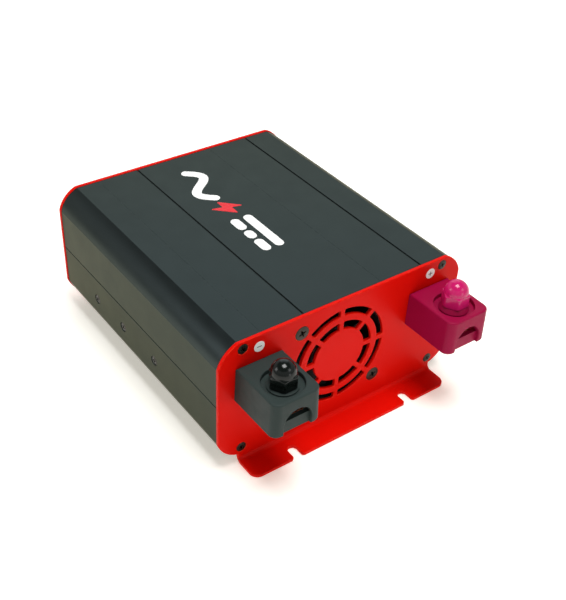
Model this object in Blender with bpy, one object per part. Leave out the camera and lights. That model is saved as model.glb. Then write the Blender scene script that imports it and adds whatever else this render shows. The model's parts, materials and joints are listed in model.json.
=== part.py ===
"""Mains inverter in a two-part case between two red end plates, with bolt-down feet.

The front (-Y) end plate carries two insulated battery terminals and the fan grille, the rear (+Y)
end plate carries the mains socket, the on-off switch, the status light and the remote port.
Lengths are in millimetres and become metres where a mesh is made. The origin is the middle of the
footprint, on the mounting surface.
"""

import math

import bmesh
import bpy
from mathutils import Matrix, Vector
from mathutils.geometry import delaunay_2d_cdt

MM = 0.001
GAP = 0.3
SIDES = (("left", -1), ("right", 1))

# Case section, seen along Y
CASE_HALF_WIDTH = 76.15
CASE_TOP = 77.8
CASE_BOTTOM = 6.1
FLAT_HALF = 65.3
CORNER_DROP = 12.0
CORNER_BULGE = 2.0
CORNER_STEPS = 5
WALL = 2.0
PARTING_Z = 41.6
LIP_THICKNESS = 1.0
LIP_REACH = 5.0
GROOVE_X = (48.9, -26.7)
GROOVE_WIDTH = 1.0
GROOVE_DEPTH = 0.6

# End plates and feet
PLATE_THICKNESS = 2.0
PLATE_MARGIN = 0.4
CASE_LENGTH = 163.0
FOOT_HALF = 64.7
FOOT_REACH = 15.0
FOOT_CORNER = 5.0
BEND_RADIUS = 2.5
BEND_STEPS = 5
SLOT_X = 37.4
SLOT_WIDTH = 5.2
SLOT_DEPTH = 8.0
SLOT_MOUTH = 1.6

# Screws: shank diameter, head diameter, head height, length
M3 = (2.6, 5.5, 1.6, 10.0)
M3_SHORT = (2.6, 5.0, 1.4, 7.0)
M4 = (3.5, 8.0, 1.7, 12.0)
HEAD_CROWN = 0.3
CROSS_ANGLE = 20.0
SCREW_SEGMENTS = 12
CORNER_SCREW_X = 62.85
CORNER_SCREW_RISE = 31.95
SIDE_SCREW_Y = (126.4, 96.4, 62.8)
SIDE_SCREW_Z = 27.9
BOSS_RADIUS = 3.6

# Fan and its grille
FAN_X = -3.2
FAN_Z = 42.8
FAN_SIZE = 60.0
FAN_DEPTH = 25.0
FAN_HOLE_SPACING = 50.0
FAN_BORE_RADIUS = 28.8
ROTOR_CLEARANCE = 1.2
HUB_RADIUS = 14.5
STATOR_RADIUS = 10.5
SHAFT_RADIUS = 1.5
MOTOR_BASE = 3.0
MOTOR_REACH = 7.0
SHAFT_END = 18.0
ARM_HALF_WIDTH = 1.5
BLADE_COUNT = 7
BLADE_MIDDLE = 12.0
GRILLE_RINGS = ((16.0, 20.9), (24.8, 28.8))
GRILLE_SPOKES = 8
SPOKE_WIDTH = 2.7

# Battery terminals
TERMINAL_X = {"negative": -53.6, "positive": 54.8}
TERMINAL_REACH = 32.5
TERMINAL_WIDTH = 26.8
TERMINAL_DRAFT = 0.6
TERMINAL_TOP = 64.0
TERMINAL_BOTTOM = 44.0
TERMINAL_CORNER = 4.5
TERMINAL_WALL = 2.6
STUD_Y = 19.5
RECESS_RADIUS = 10.6
RECESS_DEPTH = 2.5
RECESS_FLOOR = 3.0
ARCH_RADIUS = 8.0
ARCH_TOP = 57.1
PANEL_SETBACK = 2.0
PANEL_TOP = 50.4
BAR_WIDTH = 15.0
BAR_THICKNESS = 3.0
BAR_TOP = 50.0
BAR_STEP = 0.5
BAR_INNER_REACH = 34.0
BAR_END_GAP = 1.5
LUG_ROOM = 3.0
NECK_SIDE = 2.6
NECK_RISE = 2.4
NECK_REACH = 6.0
CATCH_WIDTH = 1.6
CATCH_RISE = 0.9
STUD_RADIUS = 3.7
STUD_HEAD = (6.5, 2.2)
STUD_TOP = 68.0
STUD_CHAMFER = 0.7
INSERT_RADIUS = 5.0
WASHER_RADIUS = 7.9
WASHER_THICKNESS = {"negative": 0.8, "positive": 2.8}
NUT_ACROSS_FLATS = 13.0
NUT_HEX_HEIGHT = 7.0
NUT_HEIGHT = 13.6
NUT_DOME_RADIUS = 6.15
NUT_SKIN = 5.5

# Board and what stands on it
BOARD_Z = 21.0
BOARD_THICKNESS = 1.6
RAIL_REACH = 4.0
RAIL_THICKNESS = 1.2
BOARD_FRONT = -44.0
BOARD_BACK = 68.0
HEAT_BAR_THICKNESS = 8.0
HEAT_BAR_HEIGHT = 10.0
HEAT_BAR_Y = (50.0, 140.0)
TRANSISTOR_SIZE = (5.0, 16.0, 20.0)
TRANSFORMER_PLACES = ((-26.0, 14.0), (26.0, 14.0))
INPUT_CAPACITOR_PLACES = ((-24.0, -32.0), (24.0, -32.0))
INPUT_CAPACITOR_SIZE = (9.0, 35.0)
OUTPUT_CAPACITOR_PLACE = (40.0, 52.0)
OUTPUT_CAPACITOR_SIZE = (11.0, 40.0)
CHOKE_PLACE = (4.0, 50.0)
CHOKE_RADIUS = 12.0
CHOKE_SECTION = 6.0
FUSE_PLACE = (0.0, -36.0)
FUSE_SIZE = (20.0, 7.0, 14.0)

# Rear panel, in the rear plate's own x (to the right seen from outside)
SOCKET_X = 38.0
SOCKET_Z = 42.8
SOCKET_FACE = 48.0
SOCKET_BODY_RADIUS = 21.5
SOCKET_RECESS_RADIUS = 19.5
SOCKET_RECESS_DEPTH = 17.5
SOCKET_PROUD = 3.5
SOCKET_BODY_DEPTH = 22.0
CONTACT_SPACING = 19.0
CONTACT_RADIUS = 2.6
CONTACT_DEPTH = 6.0
CONTROL_X = -9.0
SWITCH_Z = 47.0
SWITCH_WIDTH = 15.0
SWITCH_HEIGHT = 21.0
ROCKER_WIDTH = 10.4
ROCKER_HEIGHT = 15.6
ROCKER_TILT = 12.0
ROCKER_CREST = 3.2
ROCKER_VALLEY = 1.2
SWITCH_PROUD = 2.0
SWITCH_RIM = 1.0
SWITCH_DEPTH = 16.0
WELL_DEPTH = 9.0
LED_Z = 65.5
LED_RADIUS = 2.5
LED_RIM = 3.1
LED_DEPTH = 6.0
PORT_Z = 24.0
PORT_SIZE = (13.0, 10.0, 14.0)
PORT_PROUD = 0.8
PORT_OPENING = (9.8, 6.8, 11.0)
PORT_LATCH = (4.0, 1.4)
VENT_X = (-56.0, -50.5, -45.0, -39.5, -34.0, -28.5)
VENT_WIDTH = 2.6
VENT_Z = (20.0, 64.0)

OVERALL_LENGTH = TERMINAL_REACH + CASE_LENGTH + 2 * PLATE_THICKNESS + FOOT_REACH
FRONT_Y = -OVERALL_LENGTH / 2 + TERMINAL_REACH
REAR_Y = FRONT_Y + CASE_LENGTH + 2 * PLATE_THICKNESS
SECTION_MIDDLE = (CASE_TOP + CASE_BOTTOM) / 2
BOARD_TOP = BOARD_Z + BOARD_THICKNESS

COLOURS = {
    "cover_grey": ((0.062, 0.074, 0.077), 0.55, 0.3),
    "tray_grey": ((0.075, 0.075, 0.060), 0.55, 0.3),
    "plate_red": ((0.68, 0.012, 0.008), 0.35, 0.0),
    "screw_black": ((0.02, 0.018, 0.015), 0.35, 0.8),
    "fan_black": ((0.012, 0.012, 0.012), 0.5, 0.0),
    "terminal_black": ((0.045, 0.05, 0.05), 0.6, 0.0),
    "terminal_magenta": ((0.42, 0.012, 0.10), 0.5, 0.0),
    "nut_black": ((0.006, 0.008, 0.007), 0.12, 0.0),
    "nut_magenta": ((0.50, 0.012, 0.13), 0.12, 0.0),
    "copper": ((0.72, 0.30, 0.17), 0.3, 1.0),
    "brass": ((0.76, 0.55, 0.22), 0.3, 1.0),
    "steel": ((0.55, 0.55, 0.55), 0.3, 1.0),
    "board_green": ((0.01, 0.10, 0.04), 0.4, 0.0),
    "ferrite": ((0.03, 0.03, 0.033), 0.6, 0.0),
    "winding_yellow": ((0.60, 0.38, 0.03), 0.4, 0.0),
    "capacitor_sleeve": ((0.02, 0.03, 0.08), 0.4, 0.0),
    "fuse_yellow": ((0.65, 0.40, 0.02), 0.4, 0.0),
    "package_black": ((0.02, 0.02, 0.022), 0.5, 0.0),
    "aluminium": ((0.6, 0.6, 0.6), 0.35, 1.0),
    "socket_black": ((0.02, 0.02, 0.02), 0.4, 0.0),
    "light_green": ((0.05, 0.5, 0.08), 0.2, 0.0),
}


# ---------------------------------------------------------------- tools

def clear_scene():
    for old in list(bpy.data.objects):
        bpy.data.objects.remove(old, do_unlink=True)


def material(name):
    found = bpy.data.materials.get(name)
    if found:
        return found
    colour, roughness, metallic = COLOURS[name]
    made = bpy.data.materials.new(name)
    made.use_nodes = True
    shader = made.node_tree.nodes["Principled BSDF"]
    shader.inputs["Base Color"].default_value = (*colour, 1.0)
    shader.inputs["Roughness"].default_value = roughness
    shader.inputs["Metallic"].default_value = metallic
    return made


def add_object(name, bm, look, place=(0, 0, 0), turn=(0, 0, 0)):
    """Makes an object of a bmesh held in millimetres, at a place in millimetres, turned in degrees."""
    bmesh.ops.recalc_face_normals(bm, faces=bm.faces)
    bmesh.ops.scale(bm, vec=(MM, MM, MM), verts=bm.verts)
    mesh = bpy.data.meshes.new(name)
    bm.to_mesh(mesh)
    bm.free()
    mesh.shade_smooth()
    mesh.set_sharp_from_angle(angle=math.radians(35))
    made = bpy.data.objects.new(name, mesh)
    bpy.context.scene.collection.objects.link(made)
    made.location = Vector(place) * MM
    made.rotation_euler = [math.radians(angle) for angle in turn]
    if look:
        mesh.materials.append(material(look))
    return made


def combine(target, name, bm, operation, place=(0, 0, 0), turn=(0, 0, 0)):
    """Joins or cuts the target with a hidden helper shape."""
    helper = add_object(name, bm, None, place, turn)
    helper.hide_render = True
    helper.display_type = "WIRE"
    step = target.modifiers.new(name, "BOOLEAN")
    step.operation = operation
    step.object = helper


def arc(centre, radius, start, end, steps):
    """Points on a circle from start to end degrees, both ends included."""
    points = []
    for step in range(steps + 1):
        angle = math.radians(start + (end - start) * step / steps)
        points.append((centre[0] + radius * math.cos(angle), centre[1] + radius * math.sin(angle)))
    return points


def bulged(start, end, bulge, steps):
    """Points of the arc from start to end that stands bulge to the right of the straight line."""
    first, last = Vector(start), Vector(end)
    chord = last - first
    across = Vector((chord.y, -chord.x)).normalized()
    radius = (chord.length_squared / 4 + bulge * bulge) / (2 * bulge)
    centre = (first + last) / 2 + across * (bulge - radius)
    half = math.asin(chord.length / 2 / radius)
    middle = math.atan2(across.y, across.x)
    return [
        (centre.x + radius * math.cos(angle), centre.y + radius * math.sin(angle))
        for angle in (middle - half + 2 * half * step / steps for step in range(steps + 1))
    ]


def rectangle(x0, x1, z0, z1):
    return [(x0, z0), (x1, z0), (x1, z1), (x0, z1)]


def rounded_rectangle(width, height, radius, steps, centre=(0, 0)):
    points = []
    for corner, (sx, sz) in enumerate(((1, 1), (-1, 1), (-1, -1), (1, -1))):
        middle = (centre[0] + sx * (width / 2 - radius), centre[1] + sz * (height / 2 - radius))
        points += arc(middle, radius, corner * 90, corner * 90 + 90, steps)
    return points


def circle(radius, steps, centre=(0, 0)):
    return arc(centre, radius, 0, 360 - 360 / steps, steps - 1)


def on_axis(axis, across, up, along):
    """A point of an outline (across, up) at a height along the axis of its prism."""
    return {
        "X": Vector((along, across, up)),
        "Y": Vector((across, along, up)),
        "Z": Vector((across, up, along)),
    }[axis]


def inside(point, loop):
    """True where a point lies within a closed outline."""
    crossings = 0
    for (x0, y0), (x1, y1) in zip(loop, loop[1:] + loop[:1]):
        if (y0 > point[1]) != (y1 > point[1]):
            crossings += point[0] < x0 + (x1 - x0) * (point[1] - y0) / (y1 - y0)
    return crossings % 2 == 1


def triangles_between(loops):
    """Triangles, as point numbers, that fill the first loop around the holes of the others."""
    points, edges = [], []
    for loop in loops:
        first = len(points)
        points += [Vector(point) for point in loop]
        edges += [(first + i, first + (i + 1) % len(loop)) for i in range(len(loop))]
    for face in delaunay_2d_cdt(points, edges, [], 0, 0.0001)[2]:
        middle = sum((points[i] for i in face), Vector((0, 0))) / len(face)
        if inside(middle, loops[0]) and not any(inside(middle, hole) for hole in loops[1:]):
            yield face


def prism(loops, start, end, axis="Y", bm=None):
    """A straight solid with the first loop as its outline and any further loops as holes."""
    bm = bm or bmesh.new()
    points = [point for loop in loops for point in loop]
    near = [bm.verts.new(on_axis(axis, a, b, start)) for a, b in points]
    far = [bm.verts.new(on_axis(axis, a, b, end)) for a, b in points]
    if len(loops) == 1:
        bm.faces.new(near)
        bm.faces.new(reversed(far))
    else:
        for triangle in triangles_between(loops):
            bm.faces.new([near[i] for i in triangle])
            bm.faces.new([far[i] for i in reversed(triangle)])
    first = 0
    for loop in loops:
        for i in range(len(loop)):
            a, b = first + i, first + (i + 1) % len(loop)
            bm.faces.new((near[a], near[b], far[b], far[a]))
        first += len(loop)
    return bm


def turned(profile, segments, bm=None):
    """A solid of revolution about Z; the profile is (radius, height) points."""
    bm = bm or bmesh.new()
    closed = profile[0][0] > 0 or profile[-1][0] > 0
    verts = [bm.verts.new((radius, 0, height)) for radius, height in profile]
    pairs = list(zip(verts, verts[1:]))
    if closed:
        pairs.append((verts[-1], verts[0]))
    edges = [bm.edges.new(pair) for pair in pairs]
    bmesh.ops.spin(
        bm, geom=verts + edges, cent=(0, 0, 0), axis=(0, 0, 1), angle=math.tau, steps=segments
    )
    bmesh.ops.remove_doubles(bm, verts=bm.verts, dist=0.0005)
    return bm


def box(low, high, bm=None):
    return prism([rectangle(low[0], high[0], low[2], high[2])], low[1], high[1], bm=bm)


# ---------------------------------------------------------------- screws

def screw_profile(size, grow=0.0):
    """Countersunk screw from its tip up: the top of the head's rim is at height 0."""
    shank, head, head_height, length = size
    tip = [(0, -length), (shank * 0.3, -length), (shank / 2 + grow, -length + shank * 0.25)]
    cone = [(shank / 2 + grow, -head_height), (head / 2 + grow, -0.25), (head / 2 + grow, 0)]
    return tip, cone


def add_screw(name, size, place, turn, cross_angle=0.0):
    """A cross-recessed countersunk screw whose head looks along its own +Z."""
    tip, cone = screw_profile(size)
    body = turned(tip + cone + [(0, HEAD_CROWN)], SCREW_SEGMENTS)
    made = add_object(name, body, "screw_black", place, turn)
    head = size[1]
    cross = bmesh.new()
    wing, half = head * 0.27, head * 0.055
    outline = []
    for quarter in range(4):
        spin = Matrix.Rotation(math.radians(90 * quarter + cross_angle), 2)
        outline += [tuple(spin @ Vector(p)) for p in ((half, half), (half, wing), (-half, wing))]
    prism([outline], -size[2] * 0.7, 1.0, "Z", cross)
    combine(made, name + "_cross", cross, "DIFFERENCE", place, turn)
    return made


def cut_screw_hole(target, name, size, place, turn, depth=0.0):
    """Cuts the seat and clearance hole of a countersunk screw."""
    shank, head, head_height, length = size
    radius = shank / 2 + GAP
    rim = head / 2 + GAP
    floor = -(depth or length + 1)
    profile = [(0, floor), (radius, floor), (radius, -head_height - GAP), (rim, -GAP), (rim, 2), (0, 2)]
    combine(target, name, turned(profile, SCREW_SEGMENTS), "DIFFERENCE", place, turn)


# ---------------------------------------------------------------- case

def upper_half(inset):
    """Outline of the case above the parting line, right to left, moved inwards by inset."""
    half, top = CASE_HALF_WIDTH - inset, CASE_TOP - inset
    flat = FLAT_HALF - inset * 0.3
    side_top = CASE_TOP - CORNER_DROP - inset * 0.3
    right = bulged((half, side_top), (flat, top), CORNER_BULGE, CORNER_STEPS)
    left = [(-x, z) for x, z in reversed(right)]
    return right, left


def mirrored_down(points):
    return [(x, 2 * SECTION_MIDDLE - z) for x, z in points]


def section_outline(inset):
    """The whole case section as one closed outline."""
    right, left = upper_half(inset)
    upper = right + left
    return upper + [(x, z) for x, z in reversed(mirrored_down(upper))]


def groove_points():
    """The grooves along the top of the case, right to left."""
    points = []
    floor = CASE_TOP - GROOVE_DEPTH
    for x in GROOVE_X:
        right, left = x + GROOVE_WIDTH / 2, x - GROOVE_WIDTH / 2
        points += [(right, CASE_TOP), (right, floor), (left, floor), (left, CASE_TOP)]
    return points


def case_span():
    return FRONT_Y + PLATE_THICKNESS + GAP, REAR_Y - PLATE_THICKNESS - GAP


def add_bosses(target, name, sign):
    """Screw channels in the two corners above (sign 1) or below (sign -1) the middle."""
    start, end = case_span()
    rise = SECTION_MIDDLE + sign * CORNER_SCREW_RISE
    joined = bmesh.new()
    for side in (-1, 1):
        prism([circle(BOSS_RADIUS, 12, (side * CORNER_SCREW_X, rise))], start, end, bm=joined)
    combine(target, name + "_bosses", joined, "UNION")
    depth = M3[3] + 2
    for side in (-1, 1):
        for end_name, y, turn in (("front", start, 90), ("rear", end, -90)):
            hole = turned([(0, -depth), (M3[0] / 2 + GAP, -depth), (M3[0] / 2 + GAP, 1), (0, 1)], 12)
            place = (side * CORNER_SCREW_X, y, rise)
            label = f"{name}_hole_{end_name}_{'left' if side < 0 else 'right'}"
            combine(target, label, hole, "DIFFERENCE", place, (turn, 0, 0))


def add_top_cover():
    right, left = upper_half(0.0)
    outer = [(CASE_HALF_WIDTH, PARTING_Z + GAP / 2)] + right + groove_points() + left
    outer.append((-CASE_HALF_WIDTH, PARTING_Z + GAP / 2))
    inner_right, inner_left = upper_half(WALL)
    inner = [(-CASE_HALF_WIDTH + WALL, PARTING_Z + GAP / 2)]
    inner += list(reversed(inner_right + inner_left))
    inner.append((CASE_HALF_WIDTH - WALL, PARTING_Z + GAP / 2))
    start, end = case_span()
    made = add_object("top_cover", prism([outer + inner], start, end), "cover_grey")
    add_bosses(made, "top_cover", 1)


def tray_inner_side():
    """Inside of the tray's right wall from the floor corner up, with board rails and a lip."""
    wall = CASE_HALF_WIDTH - WALL
    rail = wall - RAIL_REACH
    low, high = BOARD_Z - GAP, BOARD_TOP + GAP
    lip_out = wall - GAP
    lip_in = lip_out - LIP_THICKNESS
    points = []
    for z0, z1 in ((low - RAIL_THICKNESS, low), (high, high + RAIL_THICKNESS)):
        points += [(wall, z0), (rail, z0), (rail, z1), (wall, z1)]
    points += [(wall, PARTING_Z - LIP_REACH), (lip_in, PARTING_Z - LIP_REACH + 1)]
    points += [(lip_in, PARTING_Z + LIP_REACH), (lip_out, PARTING_Z + LIP_REACH)]
    points += [(lip_out, PARTING_Z - GAP / 2)]
    return points


def add_base_tray():
    right, left = upper_half(0.0)
    outer = [(-x, z) for x, z in mirrored_down(right + left)]
    inner_right, inner_left = upper_half(WALL)
    inner = [(-x, z) for x, z in mirrored_down(inner_right + inner_left)]
    side = tray_inner_side()
    loop = [(-CASE_HALF_WIDTH, PARTING_Z - GAP / 2)] + outer + [(CASE_HALF_WIDTH, PARTING_Z - GAP / 2)]
    loop += list(reversed(side)) + list(reversed(inner)) + [(-x, z) for x, z in side]
    start, end = case_span()
    made = add_object("base_tray", prism([loop], start, end), "tray_grey")
    add_bosses(made, "base_tray", -1)
    for side_name, sign in SIDES:
        for number, y in enumerate(SIDE_SCREW_Y, 1):
            place = (sign * CASE_HALF_WIDTH, FRONT_Y + y, SIDE_SCREW_Z)
            cut_screw_hole(made, f"tray_{side_name}_{number}", M3_SHORT, place, (0, sign * 90, 0), WALL + 3)


# ---------------------------------------------------------------- end plates

def blank_outline():
    """Flat blank of an end plate: the case section with the unfolded foot below it."""
    plate = section_outline(-PLATE_MARGIN)
    lowest = min(z for x, z in plate)
    right_up = sorted((p for p in plate if p[0] > 0 and p[1] > lowest + GAP), key=lambda p: p[1])
    left_down = [(-x, z) for x, z in reversed(right_up)]
    neutral = BEND_RADIUS + PLATE_THICKNESS / 2
    bend_top = PLATE_THICKNESS + BEND_RADIUS
    edge = bend_top - neutral * math.pi / 2 - (FOOT_REACH - BEND_RADIUS)
    foot = [(-FOOT_HALF, lowest)]
    foot += arc((-FOOT_HALF + FOOT_CORNER, edge + FOOT_CORNER), FOOT_CORNER, 180, 270, 4)
    for x in (-SLOT_X, SLOT_X):
        foot += slot_points(x, edge)
    foot += arc((FOOT_HALF - FOOT_CORNER, edge + FOOT_CORNER), FOOT_CORNER, 270, 360, 4)
    foot.append((FOOT_HALF, lowest))
    return right_up + left_down + foot


def slot_points(x, edge):
    """An open-ended fixing slot in the foot's edge, left to right."""
    half = SLOT_WIDTH / 2
    mouth = SLOT_MOUTH
    points = arc((x - half - mouth, edge + mouth), mouth, 270, 360, 2)
    points += arc((x, edge + SLOT_DEPTH - half), half, 180, 0, 8)
    points += arc((x + half + mouth, edge + mouth), mouth, 180, 270, 2)
    return points


def bend_foot(bm):
    """Rolls the lower end of the flat blank forwards (-Y) into the foot."""
    neutral = BEND_RADIUS + PLATE_THICKNESS / 2
    bend_top = PLATE_THICKNESS + BEND_RADIUS
    length = neutral * math.pi / 2
    for step in range(BEND_STEPS + 1):
        height = bend_top - length * step / BEND_STEPS
        geometry = bm.verts[:] + bm.edges[:] + bm.faces[:]
        bmesh.ops.bisect_plane(bm, geom=geometry, plane_co=(0, 0, height), plane_no=(0, 0, 1))
    for vert in bm.verts:
        drop = bend_top - vert.co.z
        if drop <= 0:
            continue
        turn = min(drop / neutral, math.pi / 2)
        radius = BEND_RADIUS + vert.co.y
        straight = max(drop - length, 0)
        vert.co.y = -BEND_RADIUS + radius * math.cos(turn) - straight
        vert.co.z = bend_top - radius * math.sin(turn)


def grille_slots():
    """Two rings of curved slots with a solid disc in the middle."""
    loops = []
    for inner, outer in GRILLE_RINGS:
        for slot in range(GRILLE_SPOKES):
            start, end = slot * 360 / GRILLE_SPOKES, (slot + 1) * 360 / GRILLE_SPOKES
            cut_in = math.degrees(math.asin(SPOKE_WIDTH / 2 / inner))
            cut_out = math.degrees(math.asin(SPOKE_WIDTH / 2 / outer))
            loop = arc((FAN_X, FAN_Z), outer, start + cut_out, end - cut_out, 4)
            loop += arc((FAN_X, FAN_Z), inner, end - cut_in, start + cut_in, 4)
            loops.append(loop)
    return loops


def neck_size(grow=0.0):
    """Half width, bottom and top of the neck that carries each bus bar through the front plate."""
    low, high = BAR_TOP - BAR_THICKNESS - NECK_RISE, BAR_TOP + NECK_RISE
    return BAR_WIDTH / 2 + NECK_SIDE + grow, low - grow, high + grow


def add_plate(name, holes, place, turn):
    bm = prism([blank_outline()] + holes, 0.0, PLATE_THICKNESS)
    bend_foot(bm)
    return add_object(name, bm, "plate_red", place, turn)


def corner_screw_places():
    for level, sign in (("upper", 1), ("lower", -1)):
        for side, x in (("left", -CORNER_SCREW_X), ("right", CORNER_SCREW_X)):
            yield f"{level}_{side}", x, SECTION_MIDDLE + sign * CORNER_SCREW_RISE


def add_front_plate():
    holes = grille_slots()
    for x in TERMINAL_X.values():
        half, low, high = neck_size(GAP)
        holes.append(rectangle(x - half, x + half, low, high))
    made = add_plate("front_plate", holes, (0, FRONT_Y, 0), (0, 0, 0))
    for label, x, z in corner_screw_places():
        place = (x, FRONT_Y, z)
        cut_screw_hole(made, f"front_seat_{label}", M3, place, (90, 0, 0), PLATE_THICKNESS + 1)
        add_screw(f"front_plate_screw_{label}", M3, place, (90, 0, 0), CROSS_ANGLE)
    offset = FAN_HOLE_SPACING / 2
    for label, sign in (("upper", 1), ("lower", -1)):
        place = (FAN_X - sign * offset, FRONT_Y, FAN_Z + sign * offset)
        cut_screw_hole(made, f"fan_seat_{label}", M4, place, (90, 0, 0), PLATE_THICKNESS + 1)
        add_screw(f"fan_screw_{label}", M4, place, (90, 0, 0))


def add_rear_plate():
    switch = SWITCH_WIDTH / 2 - SWITCH_RIM + GAP, SWITCH_HEIGHT / 2 - SWITCH_RIM + GAP
    port = PORT_SIZE[0] / 2 + GAP, PORT_SIZE[1] / 2 + GAP
    holes = [circle(SOCKET_BODY_RADIUS + GAP, 32, (SOCKET_X, SOCKET_Z))]
    holes.append(rectangle(
        CONTROL_X - switch[0], CONTROL_X + switch[0], SWITCH_Z - switch[1], SWITCH_Z + switch[1]
    ))
    holes.append(circle(LED_RADIUS + GAP, 12, (CONTROL_X, LED_Z)))
    holes.append(rectangle(CONTROL_X - port[0], CONTROL_X + port[0], PORT_Z - port[1], PORT_Z + port[1]))
    for x in VENT_X:
        low, high = VENT_Z[0] + VENT_WIDTH / 2, VENT_Z[1] - VENT_WIDTH / 2
        slot = arc((x, high), VENT_WIDTH / 2, 0, 180, 4) + arc((x, low), VENT_WIDTH / 2, 180, 360, 4)
        holes.append(slot)
    made = add_plate("rear_plate", holes, (0, REAR_Y, 0), (0, 0, 180))
    for label, x, z in corner_screw_places():
        place = (-x, REAR_Y, z)
        cut_screw_hole(made, f"rear_seat_{label}", M3, place, (-90, 0, 0), PLATE_THICKNESS + 1)
        add_screw(f"rear_plate_screw_{label}", M3, place, (-90, 0, 0), CROSS_ANGLE)


def add_side_screws():
    for side_name, sign in SIDES:
        for number, y in enumerate(SIDE_SCREW_Y, 1):
            place = (sign * (CASE_HALF_WIDTH - HEAD_CROWN), FRONT_Y + y, SIDE_SCREW_Z)
            add_screw(f"side_screw_{side_name}_{number}", M3_SHORT, place, (0, sign * 90, 0))


# ---------------------------------------------------------------- fan

def add_fan_frame():
    """Square fan housing with a motor base on four arms at its back; its own Z points forwards."""
    outline = rounded_rectangle(FAN_SIZE, FAN_SIZE, 4.0, 3)
    holes = [circle(FAN_BORE_RADIUS, 32)]
    for sx in (-1, 1):
        for sz in (-1, 1):
            offset = FAN_HOLE_SPACING / 2
            holes.append(circle(M4[0] / 2 + GAP, 10, (sx * offset, sz * offset)))
    bm = prism([outline] + holes, -FAN_DEPTH, 0.0, "Z")
    front = FRONT_Y + PLATE_THICKNESS + GAP
    place = (FAN_X, front, FAN_Z)
    made = add_object("fan_frame", bm, "fan_black", place, (90, 0, 0))
    bore = SHAFT_RADIUS + GAP
    base_top = -FAN_DEPTH + MOTOR_BASE
    stator = [(0, -FAN_DEPTH), (HUB_RADIUS, -FAN_DEPTH), (HUB_RADIUS, base_top), (STATOR_RADIUS, base_top)]
    stator += [(STATOR_RADIUS, -MOTOR_REACH), (bore, -MOTOR_REACH), (bore, -SHAFT_END), (0, -SHAFT_END)]
    combine(made, "fan_motor", turned(stator, 24), "UNION", place, (90, 0, 0))
    for number in range(4):
        angle = 45 + 90 * number
        low = (HUB_RADIUS - MOTOR_BASE, -ARM_HALF_WIDTH, -FAN_DEPTH)
        arm = box(low, (FAN_BORE_RADIUS + 1.5, ARM_HALF_WIDTH, base_top - 0.5))
        bmesh.ops.rotate(arm, verts=arm.verts, matrix=Matrix.Rotation(math.radians(angle), 3, "Z"))
        combine(made, f"fan_arm_{number}", arm, "UNION", place, (90, 0, 0))


def blade(bm, angle):
    """One twisted blade, wrapped round the hub's axis (Z), added as its own closed shell."""
    stations, chords, half_thickness = 3, 3, 0.6
    inner, outer = HUB_RADIUS - 0.7, FAN_BORE_RADIUS - ROTOR_CLEARANCE
    rings = []
    for station in range(stations):
        share = station / (stations - 1)
        radius = inner + (outer - inner) * share
        pitch = math.radians(48 - 18 * share)
        half_chord = 6.2 + 2.6 * share
        ring = []
        for side in (1, -1):
            for step in range(chords + 1):
                along = side * half_chord * (1 - 2 * step / chords)
                camber = 1.1 * (1 - (along / half_chord) ** 2)
                off = side * half_thickness + camber
                tangent = along * math.cos(pitch) - off * math.sin(pitch)
                height = along * math.sin(pitch) + off * math.cos(pitch) - BLADE_MIDDLE
                theta = angle + tangent / radius
                ring.append(bm.verts.new((radius * math.cos(theta), radius * math.sin(theta), height)))
        rings.append(ring)
    for near, far in zip(rings, rings[1:]):
        for i in range(len(near)):
            j = (i + 1) % len(near)
            bm.faces.new((near[i], near[j], far[j], far[i]))
    bm.faces.new(reversed(rings[0]))
    bm.faces.new(rings[-1])


def add_fan_rotor():
    """Hub cup, open to the back, with its shaft and blades; its own Z is the axis, forwards."""
    cup_inner = STATOR_RADIUS + 1.8
    hub = [(0, -2.0), (HUB_RADIUS - 1.0, -2.0), (HUB_RADIUS, -3.0), (HUB_RADIUS, -20.5)]
    hub += [(cup_inner, -20.5), (cup_inner, -4.5), (SHAFT_RADIUS, -4.5), (SHAFT_RADIUS, -16.5), (0, -16.5)]
    place = (FAN_X, FRONT_Y + PLATE_THICKNESS + GAP, FAN_Z)
    made = add_object("fan_rotor", turned(hub, 28), "fan_black", place, (90, 0, 0))
    blades = bmesh.new()
    for number in range(BLADE_COUNT):
        blade(blades, math.tau * number / BLADE_COUNT)
    combine(made, "fan_blades", blades, "UNION", place, (90, 0, 0))


# ---------------------------------------------------------------- battery terminals

def cover_outline(grow):
    """Plan of a terminal cover: square at the plate, round at the two outer corners."""
    half = TERMINAL_WIDTH / 2 + grow
    front = -TERMINAL_REACH
    radius = TERMINAL_CORNER
    points = [(half, -GAP)]
    points.append((-half, -GAP))
    points += arc((-half + radius, front + radius), radius, 180, 270, 5)
    points += arc((half - radius, front + radius), radius, 270, 360, 5)
    return points


def drafted_cover():
    """The cover's outer body, wider at the bottom by the mould draft."""
    bm = bmesh.new()
    levels = ((TERMINAL_TOP, 0.0), (TERMINAL_BOTTOM, TERMINAL_DRAFT))
    rings = [[bm.verts.new((x, y, z)) for x, y in cover_outline(grow)] for z, grow in levels]
    bmesh.ops.contextual_create(bm, geom=rings[0])
    bmesh.ops.contextual_create(bm, geom=rings[1])
    for i in range(len(rings[0])):
        j = (i + 1) % len(rings[0])
        bm.faces.new((rings[0][i], rings[0][j], rings[1][j], rings[1][i]))
    return bm


def arch_outline(radius, top, bottom):
    spring = top - radius
    return arc((0, spring), radius, 0, 180, 10) + [(-radius, bottom), (radius, bottom)]


def stud_axis(pole):
    """Foot of the vertical stud's axis."""
    return (TERMINAL_X[pole], FRONT_Y - STUD_Y, 0)


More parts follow.
